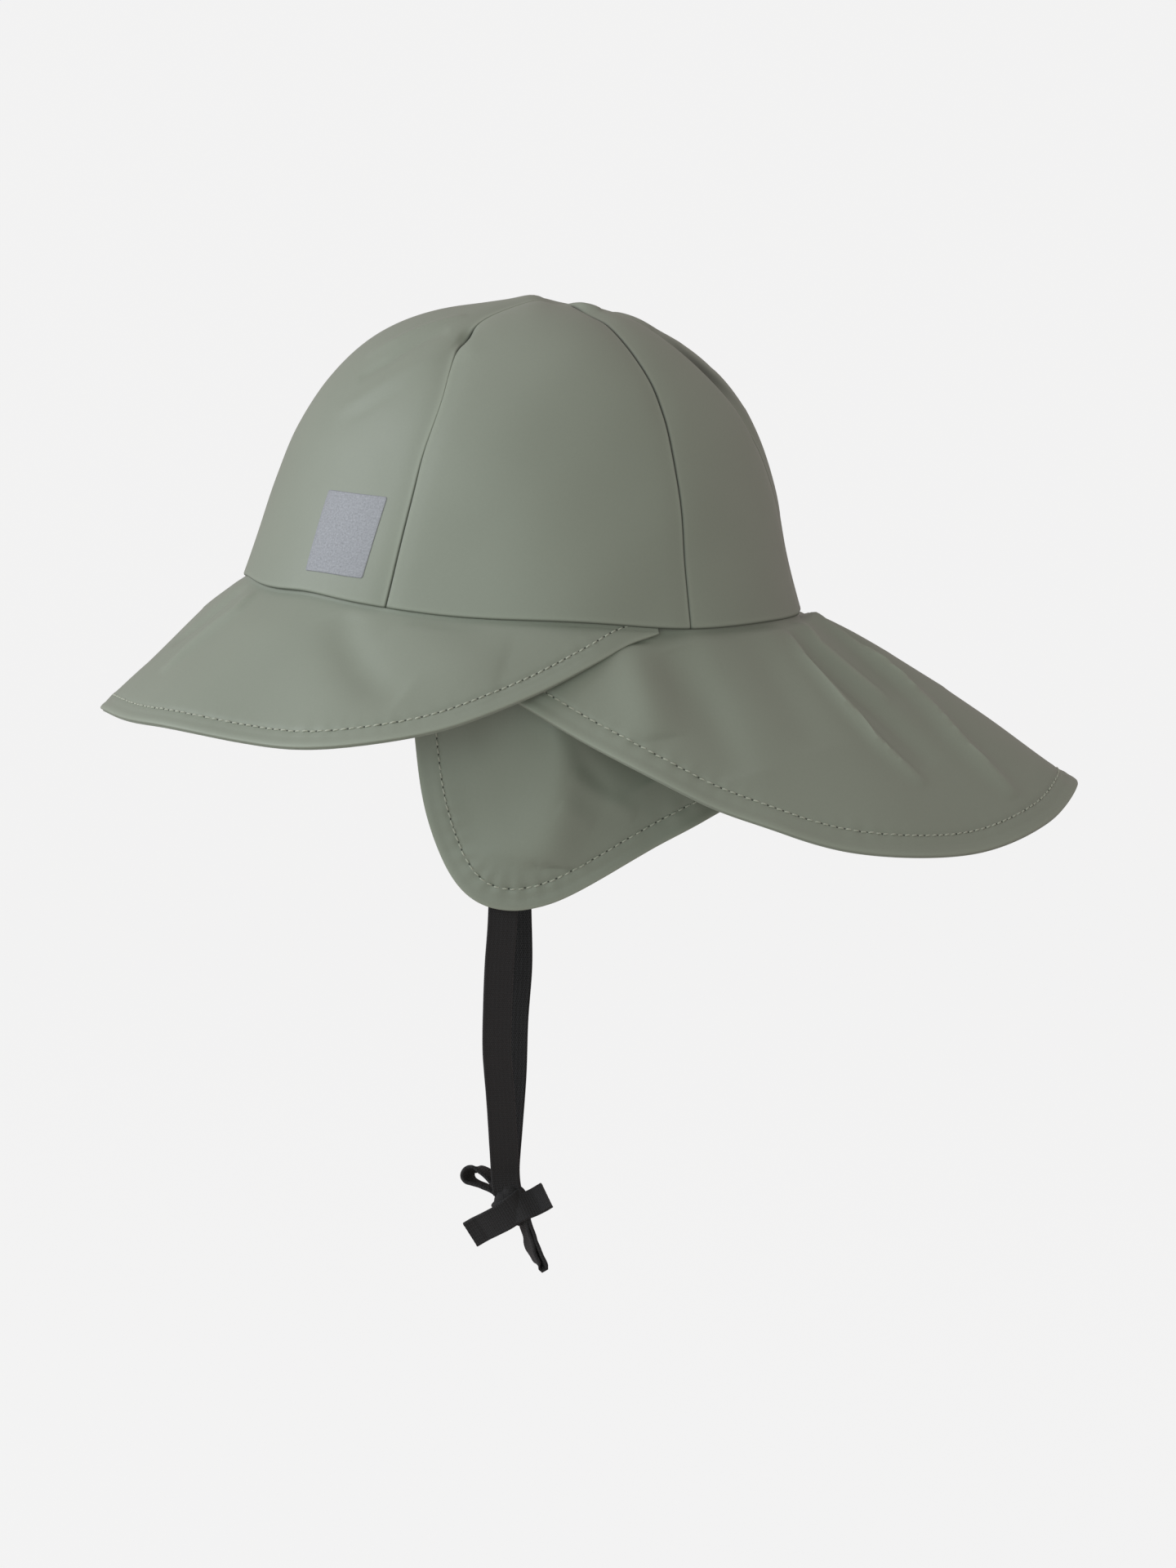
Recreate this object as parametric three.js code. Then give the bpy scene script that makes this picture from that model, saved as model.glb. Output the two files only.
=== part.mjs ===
// A child's rain hat of coated cloth: a five-panel crown, a sloping peak, a long neck flap,
// an ear flap on each side, a reflective patch, and chin ties fastened in a bow.
// Millimetres, +Z up. The origin is the middle of the head opening, at the crown's lower edge.
// The wearer faces -Y, and the wearer's left side is +X. The hat keeps the form that a head gives it.

import * as THREE from "three";

const { degToRad, radToDeg, lerp, smoothstep } = THREE.MathUtils;

// The crown's outside, section by section from its lower edge to the top: how far it reaches to
// the front, to the back and to each side, and how high the section is at its front and back
const crownSections = [
  { front: 98, frontRise: 6.4, back: 97.3, backRise: -6.4, side: 82 },
  { front: 92, frontRise: 23, back: 91.8, backRise: 15, side: 79.5 },
  { front: 85.6, frontRise: 41, back: 87.6, backRise: 36, side: 76 },
  { front: 78.1, frontRise: 59, back: 81, backRise: 56, side: 70.5 },
  { front: 67.2, frontRise: 75, back: 72, backRise: 71.4, side: 62 },
  { front: 52, frontRise: 88.2, back: 58.8, backRise: 84.5, side: 50.5 },
  { front: 33.6, frontRise: 97.2, back: 43, backRise: 93.8, side: 36.5 },
  { front: 12, frontRise: 102, back: 28, backRise: 98.7, side: 20 },
  { front: -13, frontRise: 102.8, back: 13, backRise: 102.8, side: 0 },
];

// Where the crown's lower edge leaves its plane: it rises over the forehead and dips beside the ears
const edgeWaves = [
  { away: 12, spread: 10, rise: 1.5 },
  { away: 42, spread: 9, rise: 1 },
  { away: 78, spread: 22, rise: -2 },
  { away: 125, spread: 20, rise: -2.2 },
];
const waveFade = 0.3; // share of the climb over which they fade out

// The seams, in degrees away from the front, by share of the climb. The front and rear seams are
// the same on both sides, and the nape seam wanders to the wearer's left.
const crownSeams = [
  { climb: 0, front: 62.3, rear: 126.6, nape: 177.5 },
  { climb: 0.1, front: 63.3, rear: 127.2, nape: 176 },
  { climb: 0.3, front: 65, rear: 127.5, nape: 174 },
  { climb: 0.48, front: 66.4, rear: 129, nape: 172 },
  { climb: 0.65, front: 61.7, rear: 129.6, nape: 173 },
  { climb: 0.82, front: 57, rear: 133, nape: 178 },
  { climb: 1, front: 54, rear: 133, nape: 180 },
];

// Cloth walls, and the gaps between pieces
const crownCloth = 1.2;
const flapCloth = 1.6;
const seamGap = 0.3;
const layerGap = 0.5;
const tuck = 6; // the upper edge of each flap runs this far up inside the crown
const bendSteps = 3; // rows in the turn round the crown's lower edge
const bendSlack = 0.1; // each of those rows sits this much lower than the one before
const layerStep = flapCloth + layerGap;
const firstHug = layerGap + flapCloth / 2; // from the crown's inner face to the first flap's middle
const underPeak = { until: 119, clear: 131 }; // degrees from the front where flaps move out behind it

// Colours of the two cloths, the patch and the tape
const clothColour = new THREE.MeshStandardMaterial({ color: 0x7f887c, roughness: 0.55, metalness: 0 });
const patchColour = new THREE.MeshStandardMaterial({ color: 0xa9adb6, roughness: 0.4, metalness: 0.1 });
const tapeColour = new THREE.MeshStandardMaterial({ color: 0x262626, roughness: 0.9, metalness: 0 });

// Crown panels between their seams, which are numbers of degrees round from the front by the
// wearer's left, less than zero on the right of the front panel.
// Each is flatter than a round crown low down and fuller near the top, by up to its shaping.
const seam = (name, climb) => column(crownSeams, "climb", name, climb);
const frontLeft = (climb) => seam("front", climb);
const rearLeft = (climb) => seam("rear", climb);
const nape = (climb) => seam("nape", climb);
const rearRight = (climb) => 360 - seam("rear", climb);
const frontRight = (climb) => 360 - seam("front", climb);
const crownPanels = [
  { name: "crown_front", from: (climb) => frontRight(climb) - 360, to: frontLeft, shaping: 1.2, columns: 16 },
  { name: "crown_side_left", from: frontLeft, to: rearLeft, shaping: 1.4, columns: 10 },
  { name: "crown_back_left", from: rearLeft, to: nape, shaping: 1.1, columns: 8 },
  { name: "crown_back_right", from: nape, to: rearRight, shaping: 1.1, columns: 8 },
  { name: "crown_side_right", from: rearRight, to: frontRight, shaping: 1.4, columns: 10 },
];
const crownRows = 11;
const crownTip = 0.992; // panels end just short of the top, where all five meet

// Peak and neck flap: length from the seam to the free edge, and slope below the horizontal
// where it leaves the seam, by degrees away from the front
const peakSections = [
  { away: 0, length: 67.3, slope: 37.7 },
  { away: 15, length: 66.3, slope: 36.6 },
  { away: 30, length: 63.7, slope: 37.1 },
  { away: 45, length: 60.7, slope: 42.8 },
  { away: 60, length: 56.6, slope: 43.6 },
  { away: 75, length: 45.5, slope: 45.6 },
  { away: 90, length: 29.8, slope: 48.8 },
  { away: 105, length: 13, slope: 50.5 },
  { away: 112, length: 5.4, slope: 52 },
  { away: 119, length: 0.6, slope: 53.5 },
];
const neckSections = [
  { away: 63, length: 0.8, slope: 64 },
  { away: 75, length: 11.1, slope: 58.7 },
  { away: 90, length: 27.3, slope: 59.3 },
  { away: 100, length: 39.2, slope: 57.7 },
  { away: 110, length: 51.7, slope: 54.5 },
  { away: 125, length: 70.7, slope: 51.5 },
  { away: 140, length: 90.4, slope: 47.3 },
  { away: 155, length: 105, slope: 40.2 },
  { away: 168, length: 111.9, slope: 32.7 },
  { away: 180, length: 113, slope: 26.8 },
];
const peakDroop = 9; // degrees by which the slope steepens from seam to edge
const neckDroop = 8;
const peakGrid = { columns: 34, rows: 5 };
const neckGrid = { columns: 52, rows: 5 };

// Soft folds that run from the seam to the edge: their place, half width in degrees and height.
// They reach full height at foldStart of the way out, and lose foldFade of it by the edge.
const foldStart = 0.12;
const foldFade = 0.6;
const peakFolds = [{ away: 16, spread: 7, height: 0.9 }];
const neckFolds = [
  { away: 150, spread: 6, height: 1.4 },
  { away: 164, spread: 5, height: 1.8 },
  { away: 180, spread: 8, height: 3.4 },
];

// Ear flap: a lobe below the ear whose rear edge rises and runs on round the nape
const earFront = 66.3; // degrees away from the front
const earLobe = { away: 90, drop: 99.4, squareness: 3 };
const earSections = [
  { away: 90, length: 99.4, slope: 92 },
  { away: 97, length: 96.7, slope: 92 },
  { away: 104, length: 91.3, slope: 92 },
  { away: 120, length: 74.9, slope: 91 },
  { away: 134, length: 64.2, slope: 89 },
  { away: 150, length: 55.5, slope: 86 },
  { away: 165, length: 51, slope: 84 },
  { away: 180, length: 49, slope: 83 },
];
const earGrid = { cornerColumns: 8, rearColumns: 13, rows: 5 };
const earInwards = { from: 20, most: 5 }; // degrees of turning in, for a drop of more than from
const napeGap = 0.22; // half the gap between the two ear flaps at the middle of the back

// Reflective patch on the front panel
const patch = { width: 25, height: 27.7, thickness: 0.6, away: 48.9, climb: 0.149, lean: 0.06 };

// Chin ties: flat tapes that run from inside each lobe to the knot, their width facing sideways.
// out is the distance from the middle plane, the same for both, and each tape has its own y.
const tape = { width: 10, thickness: 1.2, chamfer: 0.4 };
const tieSteps = 14;
const tieRoute = [
  { out: 66.6, leftY: -6.2, rightY: -3.1, z: -86 },
  { out: 65.3, leftY: -6.1, rightY: -3.2, z: -98 },
  { out: 62.4, leftY: -6.5, rightY: -3.1, z: -108 },
  { out: 55.2, leftY: -7.6, rightY: -2.6, z: -122 },
  { out: 45.2, leftY: -8.4, rightY: -2.3, z: -138.5 },
  { out: 34.2, leftY: -8.8, rightY: -3.6, z: -156 },
  { out: 22.4, leftY: -7.8, rightY: -4.2, z: -174.5 },
  { out: 10.6, leftY: -7, rightY: -5.6, z: -193 },
  { out: 3.4, leftY: -6.6, rightY: -6.4, z: -203.6 },
  { out: 1.3, leftY: -6.4, rightY: -6.2, z: -208.6 },
];

// The bow, seen best from the side: a knot, a loop up to the front and one down to the rear,
// and a free end on each of the other two sides. broad is the direction of the tape's width.
const knot = { x: 0, y: -4.4, z: -216.6, halfX: 5.2, halfY: 6.3, halfZ: 7.6 };
const bowTapes = [
  {
    name: "bow_loop_front",
    steps: 12,
    broad: { x: 0.85, y: -0.48, z: 0.2 },
    route: [
      { x: -4.9, y: -12, z: -207.4 },
      { x: -5.4, y: -14.6, z: -205.4 },
      { x: -5.8, y: -16.8, z: -204.5 },
      { x: -6, y: -18.8, z: -205.2 },
      { x: -6.1, y: -19.7, z: -207.2 },
      { x: -6, y: -18.9, z: -208.9 },
      { x: -5.7, y: -17.1, z: -210 },
      { x: -5.2, y: -13.9, z: -211.1 },
      { x: -4.7, y: -11.2, z: -212.2 },
    ],
  },
  {
    name: "bow_loop_rear",
    steps: 12,
    broad: { x: 0.93, y: 0.32, z: -0.16 },
    route: [
      { x: 1.1, y: -0.8, z: -223.6 },
      { x: 1.5, y: 0.4, z: -226.6 },
      { x: 1.6, y: 1.2, z: -229 },
      { x: 1.8, y: 1.9, z: -232.9 },
      { x: 1.8, y: 3.6, z: -235.8 },
      { x: 1.8, y: 5.2, z: -237.8 },
      { x: 1.8, y: 6.7, z: -237.4 },
      { x: 1.8, y: 6.8, z: -235.6 },
      { x: 1.8, y: 5.8, z: -233 },
      { x: 1.7, y: 4.6, z: -230.2 },
      { x: 1.6, y: 3.4, z: -227.2 },
    ],
  },
  {
    name: "tie_end_front",
    steps: 4,
    broad: { x: 0, y: 0.5, z: -0.87 },
    route: [
      { x: 3.6, y: -9.7, z: -220 },
      { x: 3.4, y: -14.2, z: -223 },
      { x: 2.2, y: -18.5, z: -226 },
    ],
  },
  {
    name: "tie_end_rear",
    steps: 4,
    broad: { x: 0, y: 0.5, z: -0.87 },
    route: [
      { x: 3.4, y: 2.2, z: -215.8 },
      { x: 2.9, y: 5.2, z: -214.4 },
      { x: 3.2, y: 8.2, z: -212.7 },
    ],
  },
];

// A value of a table column at a place between its rows, by a smooth cubic through them
function column(rows, key, name, at) {
  const last = rows.length - 1;
  const x = (i) => rows[i][key];
  const y = (i) => rows[i][name];
  if (at <= x(0)) return y(0);
  if (at >= x(last)) return y(last);
  const i = rows.findIndex((row, k) => k < last && at < x(k + 1));
  const slopeAt = (k) => {
    const before = Math.max(k - 1, 0);
    const after = Math.min(k + 1, last);
    return (y(after) - y(before)) / (x(after) - x(before));
  };
  const span = x(i + 1) - x(i);
  const u = (at - x(i)) / span;
  const rise = y(i + 1) - y(i);
  const start = slopeAt(i) * span;
  const end = slopeAt(i + 1) * span;
  return y(i) + u * (start + u * (3 * rise - 2 * start - end + u * (start + end - 2 * rise)));
}

// 1 in the middle, falling away to both sides
function bell(x) {
  return Math.exp(-x * x);
}

// Degrees away from the front, the same on both sides
function awayFromFront(turn) {
  const round = ((turn % 360) + 360) % 360;
  return Math.min(round, 360 - round);
}

// The crown's outer face as a round form: turn goes round it from the front by the wearer's left,
// and climb goes from the lower edge (0) to the top (1)
function crownPoint(turn, climb) {
  const rows = crownSections.map((section, index) => ({ index, ...section }));
  const at = (name) => column(rows, "index", name, climb * (rows.length - 1));
  const angle = degToRad(turn);
  const away = awayFromFront(turn);
  const wave = edgeWaves.reduce((sum, row) => sum + row.rise * bell((away - row.away) / row.spread), 0);
  const front = at("front");
  const back = at("back");
  const frontRise = at("frontRise");
  const backRise = at("backRise");
  return new THREE.Vector3(
    at("side") * Math.sin(angle),
    (back - front) / 2 - ((back + front) / 2) * Math.cos(angle),
    (frontRise + backRise) / 2 +
      ((frontRise - backRise) / 2) * Math.cos(angle) +
      wave * (1 - smoothstep(climb, 0, waveFade)),
  );
}

// The direction out of the round crown, which neighbouring panels share at their seam
function crownNormal(turn, climb) {
  const step = 0.01;
  const round = crownPoint(turn + 1, climb).sub(crownPoint(turn - 1, climb));
  const up = crownPoint(turn, Math.min(climb + step, 1)).sub(crownPoint(turn, Math.max(climb - step, 0)));
  return round.cross(up).normalize();
}

// The outer face of a panel, at a share of the way across it
function panelPoint(panel, share, turn, climb) {
  const across = 4 * share * (1 - share) - 0.5;
  const outwards = -panel.shaping * Math.sin(2 * Math.PI * climb) * across;
  return crownPoint(turn, climb).addScaledVector(crownNormal(turn, climb), outwards);
}

// The level direction that points squarely out of the crown's lower edge
function levelOutwards(turn) {
  const normal = crownNormal(turn, 0);
  return normal.setZ(0).normalize();
}

// A closed solid between two grids of points, outer and inner, each an array of rows
function closedShell(outer, inner) {
  const rows = outer.length;
  const columns = outer[0].length;
  const positions = [];
  for (const grid of [outer, inner]) {
    for (const row of grid) {
      for (const point of row) positions.push(point.x, point.y, point.z);
    }
  }
  const out = (r, c) => r * columns + c;
  const into = (r, c) => rows * columns + out(r, c);
  const indices = [];
  const quad = (a, b, c, d) => indices.push(a, b, c, a, c, d);
  for (let r = 0; r < rows - 1; r++) {
    for (let c = 0; c < columns - 1; c++) {
      quad(out(r, c), out(r, c + 1), out(r + 1, c + 1), out(r + 1, c));
      quad(into(r, c), into(r + 1, c), into(r + 1, c + 1), into(r, c + 1));
    }
  }
  for (let r = 0; r < rows - 1; r++) {
    const c = columns - 1;
    quad(out(r, 0), out(r + 1, 0), into(r + 1, 0), into(r, 0));
    quad(out(r, c), into(r, c), into(r + 1, c), out(r + 1, c));
  }
  for (let c = 0; c < columns - 1; c++) {
    const r = rows - 1;
    quad(out(0, c), into(0, c), into(0, c + 1), out(0, c + 1));
    quad(out(r, c), out(r, c + 1), into(r, c + 1), into(r, c));
  }
  const geometry = new THREE.BufferGeometry();
  geometry.setAttribute("position", new THREE.Float32BufferAttribute(positions, 3));
  geometry.setIndex(indices);
  geometry.computeVertexNormals();
  return geometry;
}

// Unit normals of a grid of points, each from its neighbours' places
function gridNormals(grid) {
  return grid.map((row, r) =>
    row.map((_, c) => {
      const along = grid[r][Math.min(c + 1, row.length - 1)].clone().sub(grid[r][Math.max(c - 1, 0)]);
      const up = grid[Math.min(r + 1, grid.length - 1)][c].clone().sub(grid[Math.max(r - 1, 0)][c]);
      return along.cross(up).normalize();
    }),
  );
}

// The middle surface of a wall, thickened by the same amount to both sides
function thickened(middle, thickness) {
  const normals = gridNormals(middle);
  const side = (sign) =>
    middle.map((row, r) =>
      row.map((point, c) => point.clone().addScaledVector(normals[r][c], (sign * thickness) / 2)),
    );
  return closedShell(side(1), side(-1));
}

function crownPanel(panel) {
  const outer = [];
  const inner = [];
  for (let r = 0; r <= crownRows; r++) {
    const climb = (crownTip * r) / crownRows;
    const outerRow = [];
    const innerRow = [];
    const from = panel.from(climb);
    const to = panel.to(climb);
    const perDegree = crownPoint(from + 1, climb).distanceTo(crownPoint(from, climb));
    const inset = seamGap / 2 / perDegree;
    for (let c = 0; c <= panel.columns; c++) {
      const share = c / panel.columns;
      const turn = lerp(from + inset, to - inset, share);
      const point = panelPoint(panel, share, turn, climb);
      outerRow.push(point);
      innerRow.push(point.clone().addScaledVector(crownNormal(turn, climb), -crownCloth));
    }
    outer.push(outerRow);
    inner.push(innerRow);
  }
  return closedShell(outer, inner);
}

// How far the folds lift a flap's surface at a place
function foldHeight(folds, away, outShare) {
  let height = 0;
  for (const fold of folds) height += fold.height * bell((away - fold.away) / fold.spread);
  return height * smoothstep(outShare, 0, foldStart) * (1 - foldFade * outShare);
}

// A flap's middle line at one turn, from its tucked upper edge, round the crown's lower edge, to
// its free edge. Each point is a pair: how far out from the crown's edge, and how far below it.
function flapLine(turn, length, slope, droop, hug, steps) {
  const wall = crownNormal(turn, 0);
  const lean = Math.asin(wall.z);
  const radius = crownCloth + hug;
  const line = [];
  for (const up of [tuck, tuck / 2]) {
    line.push([
      -radius * Math.cos(lean) - up * Math.sin(lean),
      radius * Math.sin(lean) - up * Math.cos(lean),
    ]);
  }
  const bend = Math.max(lean, degToRad(90 - slope));
  for (let k = 0; k <= bendSteps; k++) {
    const angle = lerp(lean, bend, k / bendSteps);
    line.push([-radius * Math.cos(angle), radius * Math.sin(angle) + k * bendSlack]);
  }
  let [out, down] = line.at(-1);
  for (let k = 0; k < steps; k++) {
    const angle = degToRad(slope + (droop * (k + 0.5)) / steps);
    out += (length / steps) * Math.cos(angle);
    down += (length / steps) * Math.sin(angle);
    line.push([out, down]);
  }
  return line;
}

// A flap as a wall of cloth; places is the list of its columns, each with its own line
function flapWall(places, folds = []) {
  const last = places[0].line.length - 1;
  const hanging = 2 + bendSteps; // the row where a flap leaves the crown's edge
  const middle = [];
  for (let r = last; r >= 0; r--) {
    middle.push(
      places.map(({ turn, line }) => {
        const [out, down] = line[r];
        const point = crownPoint(turn, 0).addScaledVector(levelOutwards(turn), out);
        const outShare = Math.max(0, r - hanging) / (last - hanging);
        point.z += foldHeight(folds, awayFromFront(turn), outShare) - down;
        return point;
      }),
    );
  }
  return thickened(middle, flapCloth);
}

// Evenly spaced numbers from one end to the other
function spaced(from, to, count) {
  return Array.from({ length: count + 1 }, (_, k) => lerp(from, to, k / count));
}

function peak() {
  const end = peakSections.at(-1).away;
  const places = spaced(-end, end, peakGrid.columns).map((turn) => {
    const away = awayFromFront(turn);
    const length = column(peakSections, "away", "length", away);
    const slope = column(peakSections, "away", "slope", away);
    return { turn, line: flapLine(turn, length, slope, peakDroop, firstHug, peakGrid.rows) };
  });
  return flapWall(places, peakFolds);
}

// The neck flap lies under the peak at the sides, and moves out to the crown's wall behind it
function neckHug(away) {
  return firstHug + layerStep * (1 - smoothstep(away, underPeak.until, underPeak.clear));
}

function neckFlap() {
  const start = neckSections[0].away;
  const places = spaced(start, 360 - start, neckGrid.columns).map((turn) => {
    const away = awayFromFront(turn);
    const length = column(neckSections, "away", "length", away);
    const slope = column(neckSections, "away", "slope", away);
    return { turn, line: flapLine(turn, length, slope, neckDroop, neckHug(away), neckGrid.rows) };
  });
  return flapWall(places, neckFolds);
}

// Columns of an ear flap: round its square-shouldered front corner, then back along its rear edge
function earPlaces() {
  const width = earLobe.away - earFront;
  const power = 2 / earLobe.squareness;
  const corner = spaced(6, 84, earGrid.cornerColumns).map((angle) => ({
    away: earLobe.away - width * Math.cos(degToRad(angle)) ** power,
    length: earLobe.drop * Math.sin(degToRad(angle)) ** power,
  }));
  const napeEnd = 180 - radToDeg(napeGap / crownSections[0].side);
  const rear = spaced(earLobe.away + 1, napeEnd, earGrid.rearColumns).map((away) => ({
    away,
    length: column(earSections, "away", "length", away),
  }));
  return [...corner, ...rear];
}

function earFlap(side) {
  const places = earPlaces().map(({ away, length }) => {
    const slope = column(earSections, "away", "slope", away);
    const inwards = earInwards.most * smoothstep(length, earInwards.from, earLobe.drop);
    const turn = side * away;
    const hug = neckHug(away) + layerStep;
    return { turn, line: flapLine(turn, length, slope, inwards, hug, earGrid.rows) };
  });
  if (side < 0) places.reverse();
  return flapWall(places);
}

function reflectivePatch() {
  const cells = 5;
  const front = crownPanels[0];
  const middle = crownPoint(patch.away, patch.climb);
  const perDegree = crownPoint(patch.away + 1, patch.climb).distanceTo(middle);
  const perClimb = crownPoint(patch.away, patch.climb + 0.01).distanceTo(middle) / 0.01;
  const faceAt = (lift) =>
    spaced(-0.5, 0.5, cells).map((up) =>
      spaced(-0.5, 0.5, cells).map((across) => {
        const turn = patch.away + (patch.width * across + patch.lean * patch.height * up) / perDegree;
        const climb = patch.climb + (patch.height * up) / perClimb;
        const share = (turn - front.from(climb)) / (front.to(climb) - front.from(climb));
        const point = panelPoint(front, share, turn, climb);
        return point.addScaledVector(crownNormal(turn, climb), lift);
      }),
    );
  return closedShell(faceAt(seamGap + patch.thickness), faceAt(seamGap));
}

// A flat tape with softened edges, lofted along a smooth route; broad is its width direction
function tapeAlong(route, broad, steps) {
  const curve = new THREE.CatmullRomCurve3(route);
  const halfWide = tape.width / 2;
  const halfThick = tape.thickness / 2;
  const chamfer = tape.chamfer;
  const section = [
    [halfWide, chamfer - halfThick],
    [halfWide, halfThick - chamfer],
    [halfWide - chamfer, halfThick],
    [chamfer - halfWide, halfThick],
    [-halfWide, halfThick - chamfer],
    [-halfWide, chamfer - halfThick],
    [chamfer - halfWide, -halfThick],
    [halfWide - chamfer, -halfThick],
  ];
  const sides = section.length;
  const positions = [];
  for (let k = 0; k <= steps; k++) {
    const centre = curve.getPointAt(k / steps);
    const tangent = curve.getTangentAt(k / steps);
    const wide = broad.clone().addScaledVector(tangent, -broad.dot(tangent)).normalize();
    const face = tangent.clone().cross(wide);
    for (const [w, f] of section) {
      const point = centre.clone().addScaledVector(wide, w).addScaledVector(face, f);
      positions.push(point.x, point.y, point.z);
    }
  }
  const indices = [];
  const corner = (k, s) => k * sides + (s % sides);
  for (let k = 0; k < steps; k++) {
    for (let s = 0; s < sides; s++) {
      indices.push(corner(k, s), corner(k, s + 1), corner(k + 1, s + 1));
      indices.push(corner(k, s), corner(k + 1, s + 1), corner(k + 1, s));
    }
  }
  for (let s = 1; s < sides - 1; s++) {
    indices.push(corner(0, 0), corner(0, s + 1), corner(0, s));
    indices.push(corner(steps, 0), corner(steps, s), corner(steps, s + 1));
  }
  const geometry = new THREE.BufferGeometry();
  geometry.setAttribute("position", new THREE.Float32BufferAttribute(positions, 3));
  geometry.setIndex(indices);
  geometry.computeVertexNormals();
  return geometry;
}

function tie(side, yColumn) {
  const route = tieRoute.map((row) => new THREE.Vector3(side * row.out, row[yColumn], row.z));
  return tapeAlong(route, new THREE.Vector3(0, side, 0), tieSteps);
}

function bowTape({ route, broad, steps }) {
  const points = route.map(({ x, y, z }) => new THREE.Vector3(x, y, z));
  return tapeAlong(points, new THREE.Vector3(broad.x, broad.y, broad.z), steps);
}

function bowKnot() {
  const geometry = new THREE.SphereGeometry(1, 12, 8);
  geometry.scale(knot.halfX, knot.halfY, knot.halfZ);
  geometry.translate(knot.x, knot.y, knot.z);
  return geometry;
}

const hat = new THREE.Group();

function addPiece(name, geometry, material) {
  const mesh = new THREE.Mesh(geometry, material);
  mesh.name = name;
  hat.add(mesh);
}

for (const panel of crownPanels) addPiece(panel.name, crownPanel(panel), clothColour);
addPiece("peak", peak(), clothColour);
addPiece("neck_flap", neckFlap(), clothColour);
addPiece("ear_flap_left", earFlap(1), clothColour);
addPiece("ear_flap_right", earFlap(-1), clothColour);
addPiece("reflective_patch", reflectivePatch(), patchColour);
addPiece("tie_left", tie(1, "leftY"), tapeColour);
addPiece("tie_right", tie(-1, "rightY"), tapeColour);
addPiece("bow_knot", bowKnot(), tapeColour);
for (const bow of bowTapes) addPiece(bow.name, bowTape(bow), tapeColour);

export default hat;
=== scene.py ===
# A child's rain hat of coated cloth: five crown panels, a sloping peak, a long neck flap and two ear
# flaps with stitched hems, a bare reflective patch, and chin ties of woven tape fastened in a bow.
# Metres, +Z up. The wearer faces -Y, and the wearer's left side is +X.

import math

import bpy
import numpy as np
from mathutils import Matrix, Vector


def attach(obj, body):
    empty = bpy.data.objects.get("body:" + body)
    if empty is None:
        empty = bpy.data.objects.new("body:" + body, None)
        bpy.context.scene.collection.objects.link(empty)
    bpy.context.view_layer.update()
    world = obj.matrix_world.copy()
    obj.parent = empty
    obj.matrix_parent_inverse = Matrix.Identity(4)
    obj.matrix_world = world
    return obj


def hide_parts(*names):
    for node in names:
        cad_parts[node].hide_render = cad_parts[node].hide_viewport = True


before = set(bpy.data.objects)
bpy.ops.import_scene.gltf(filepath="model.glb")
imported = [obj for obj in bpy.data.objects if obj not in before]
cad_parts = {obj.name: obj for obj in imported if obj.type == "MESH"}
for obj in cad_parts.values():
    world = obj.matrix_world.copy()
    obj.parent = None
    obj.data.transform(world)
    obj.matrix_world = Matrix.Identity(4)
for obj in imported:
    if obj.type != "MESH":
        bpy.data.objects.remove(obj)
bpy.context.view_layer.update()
print("frame loaded with", len(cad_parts), "nodes")


# Camera at the photo's angle: from the wearer's left, a little above the hat
cameraView = {
    "azimuth": 90,  # degrees, 90 looks along -X
    "elevation": 7.2,
    "distance": 2.0,
    "aim": (0.0, 0.0227, -0.067),
    "frameHeight": 0.5486,  # height of the picture, measured at the aim
    "sensor": 36.0,
}


def makeCamera(view):
    turn, rise = math.radians(view["azimuth"]), math.radians(view["elevation"])
    back = Vector((math.sin(turn) * math.cos(rise), -math.cos(turn) * math.cos(rise), math.sin(rise)))
    data = bpy.data.cameras.new("camera")
    data.sensor_width = view["sensor"]
    data.lens = view["sensor"] * view["distance"] / view["frameHeight"]
    data.clip_start, data.clip_end = 0.05, 30
    camera = bpy.data.objects.new("camera", data)
    camera.location = Vector(view["aim"]) + back * view["distance"]
    camera.rotation_euler = (-back).to_track_quat("-Z", "Y").to_euler()
    bpy.context.scene.collection.objects.link(camera)
    bpy.context.scene.camera = camera


makeCamera(cameraView)
print("camera set")


# Array helpers

def table(names, *rows):
    # A short table with named columns, each column as an array
    return dict(zip(names, np.array(rows, float).T))


def smoothCurve(x, y, at):
    # Cubic through the points (x, y): its slope at each is the difference of the two neighbours
    slope = np.empty_like(y)
    slope[1:-1] = (y[2:] - y[:-2]) / (x[2:] - x[:-2])
    slope[0], slope[-1] = (y[1] - y[0]) / (x[1] - x[0]), (y[-1] - y[-2]) / (x[-1] - x[-2])
    at = np.clip(at, x[0], x[-1])
    i = np.clip(np.searchsorted(x, at, side="right") - 1, 0, len(x) - 2)
    span, rise = x[i + 1] - x[i], y[i + 1] - y[i]
    u, a, b = (at - x[i]) / span, slope[i] * span, slope[i + 1] * span
    return y[i] + u * (a + u * (3 * rise - 2 * a - b + u * (a + b - 2 * rise)))


def smoothStep(x, start, end):
    # Rises from 0 at start to 1 at end, level at both
    u = np.clip((x - start) / (end - start), 0, 1)
    return u * u * (3 - 2 * u)


def bell(x, halfWidth):
    # 1 at zero, falling away to either side
    return np.exp(-((x / halfWidth) ** 2))


def lengthOf(vectors):
    return np.linalg.norm(vectors, axis=-1)


def unit(vectors):
    return vectors / np.maximum(lengthOf(vectors), 1e-12)[..., None]


def arcLength(points, axis):
    # Distance run along the rows or columns of a grid, from its start
    steps = lengthOf(np.diff(points, axis=axis))
    start = np.zeros_like(np.take(steps, [0], axis=axis))
    return np.cumsum(np.concatenate([start, steps], axis=axis), axis=axis)


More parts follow.
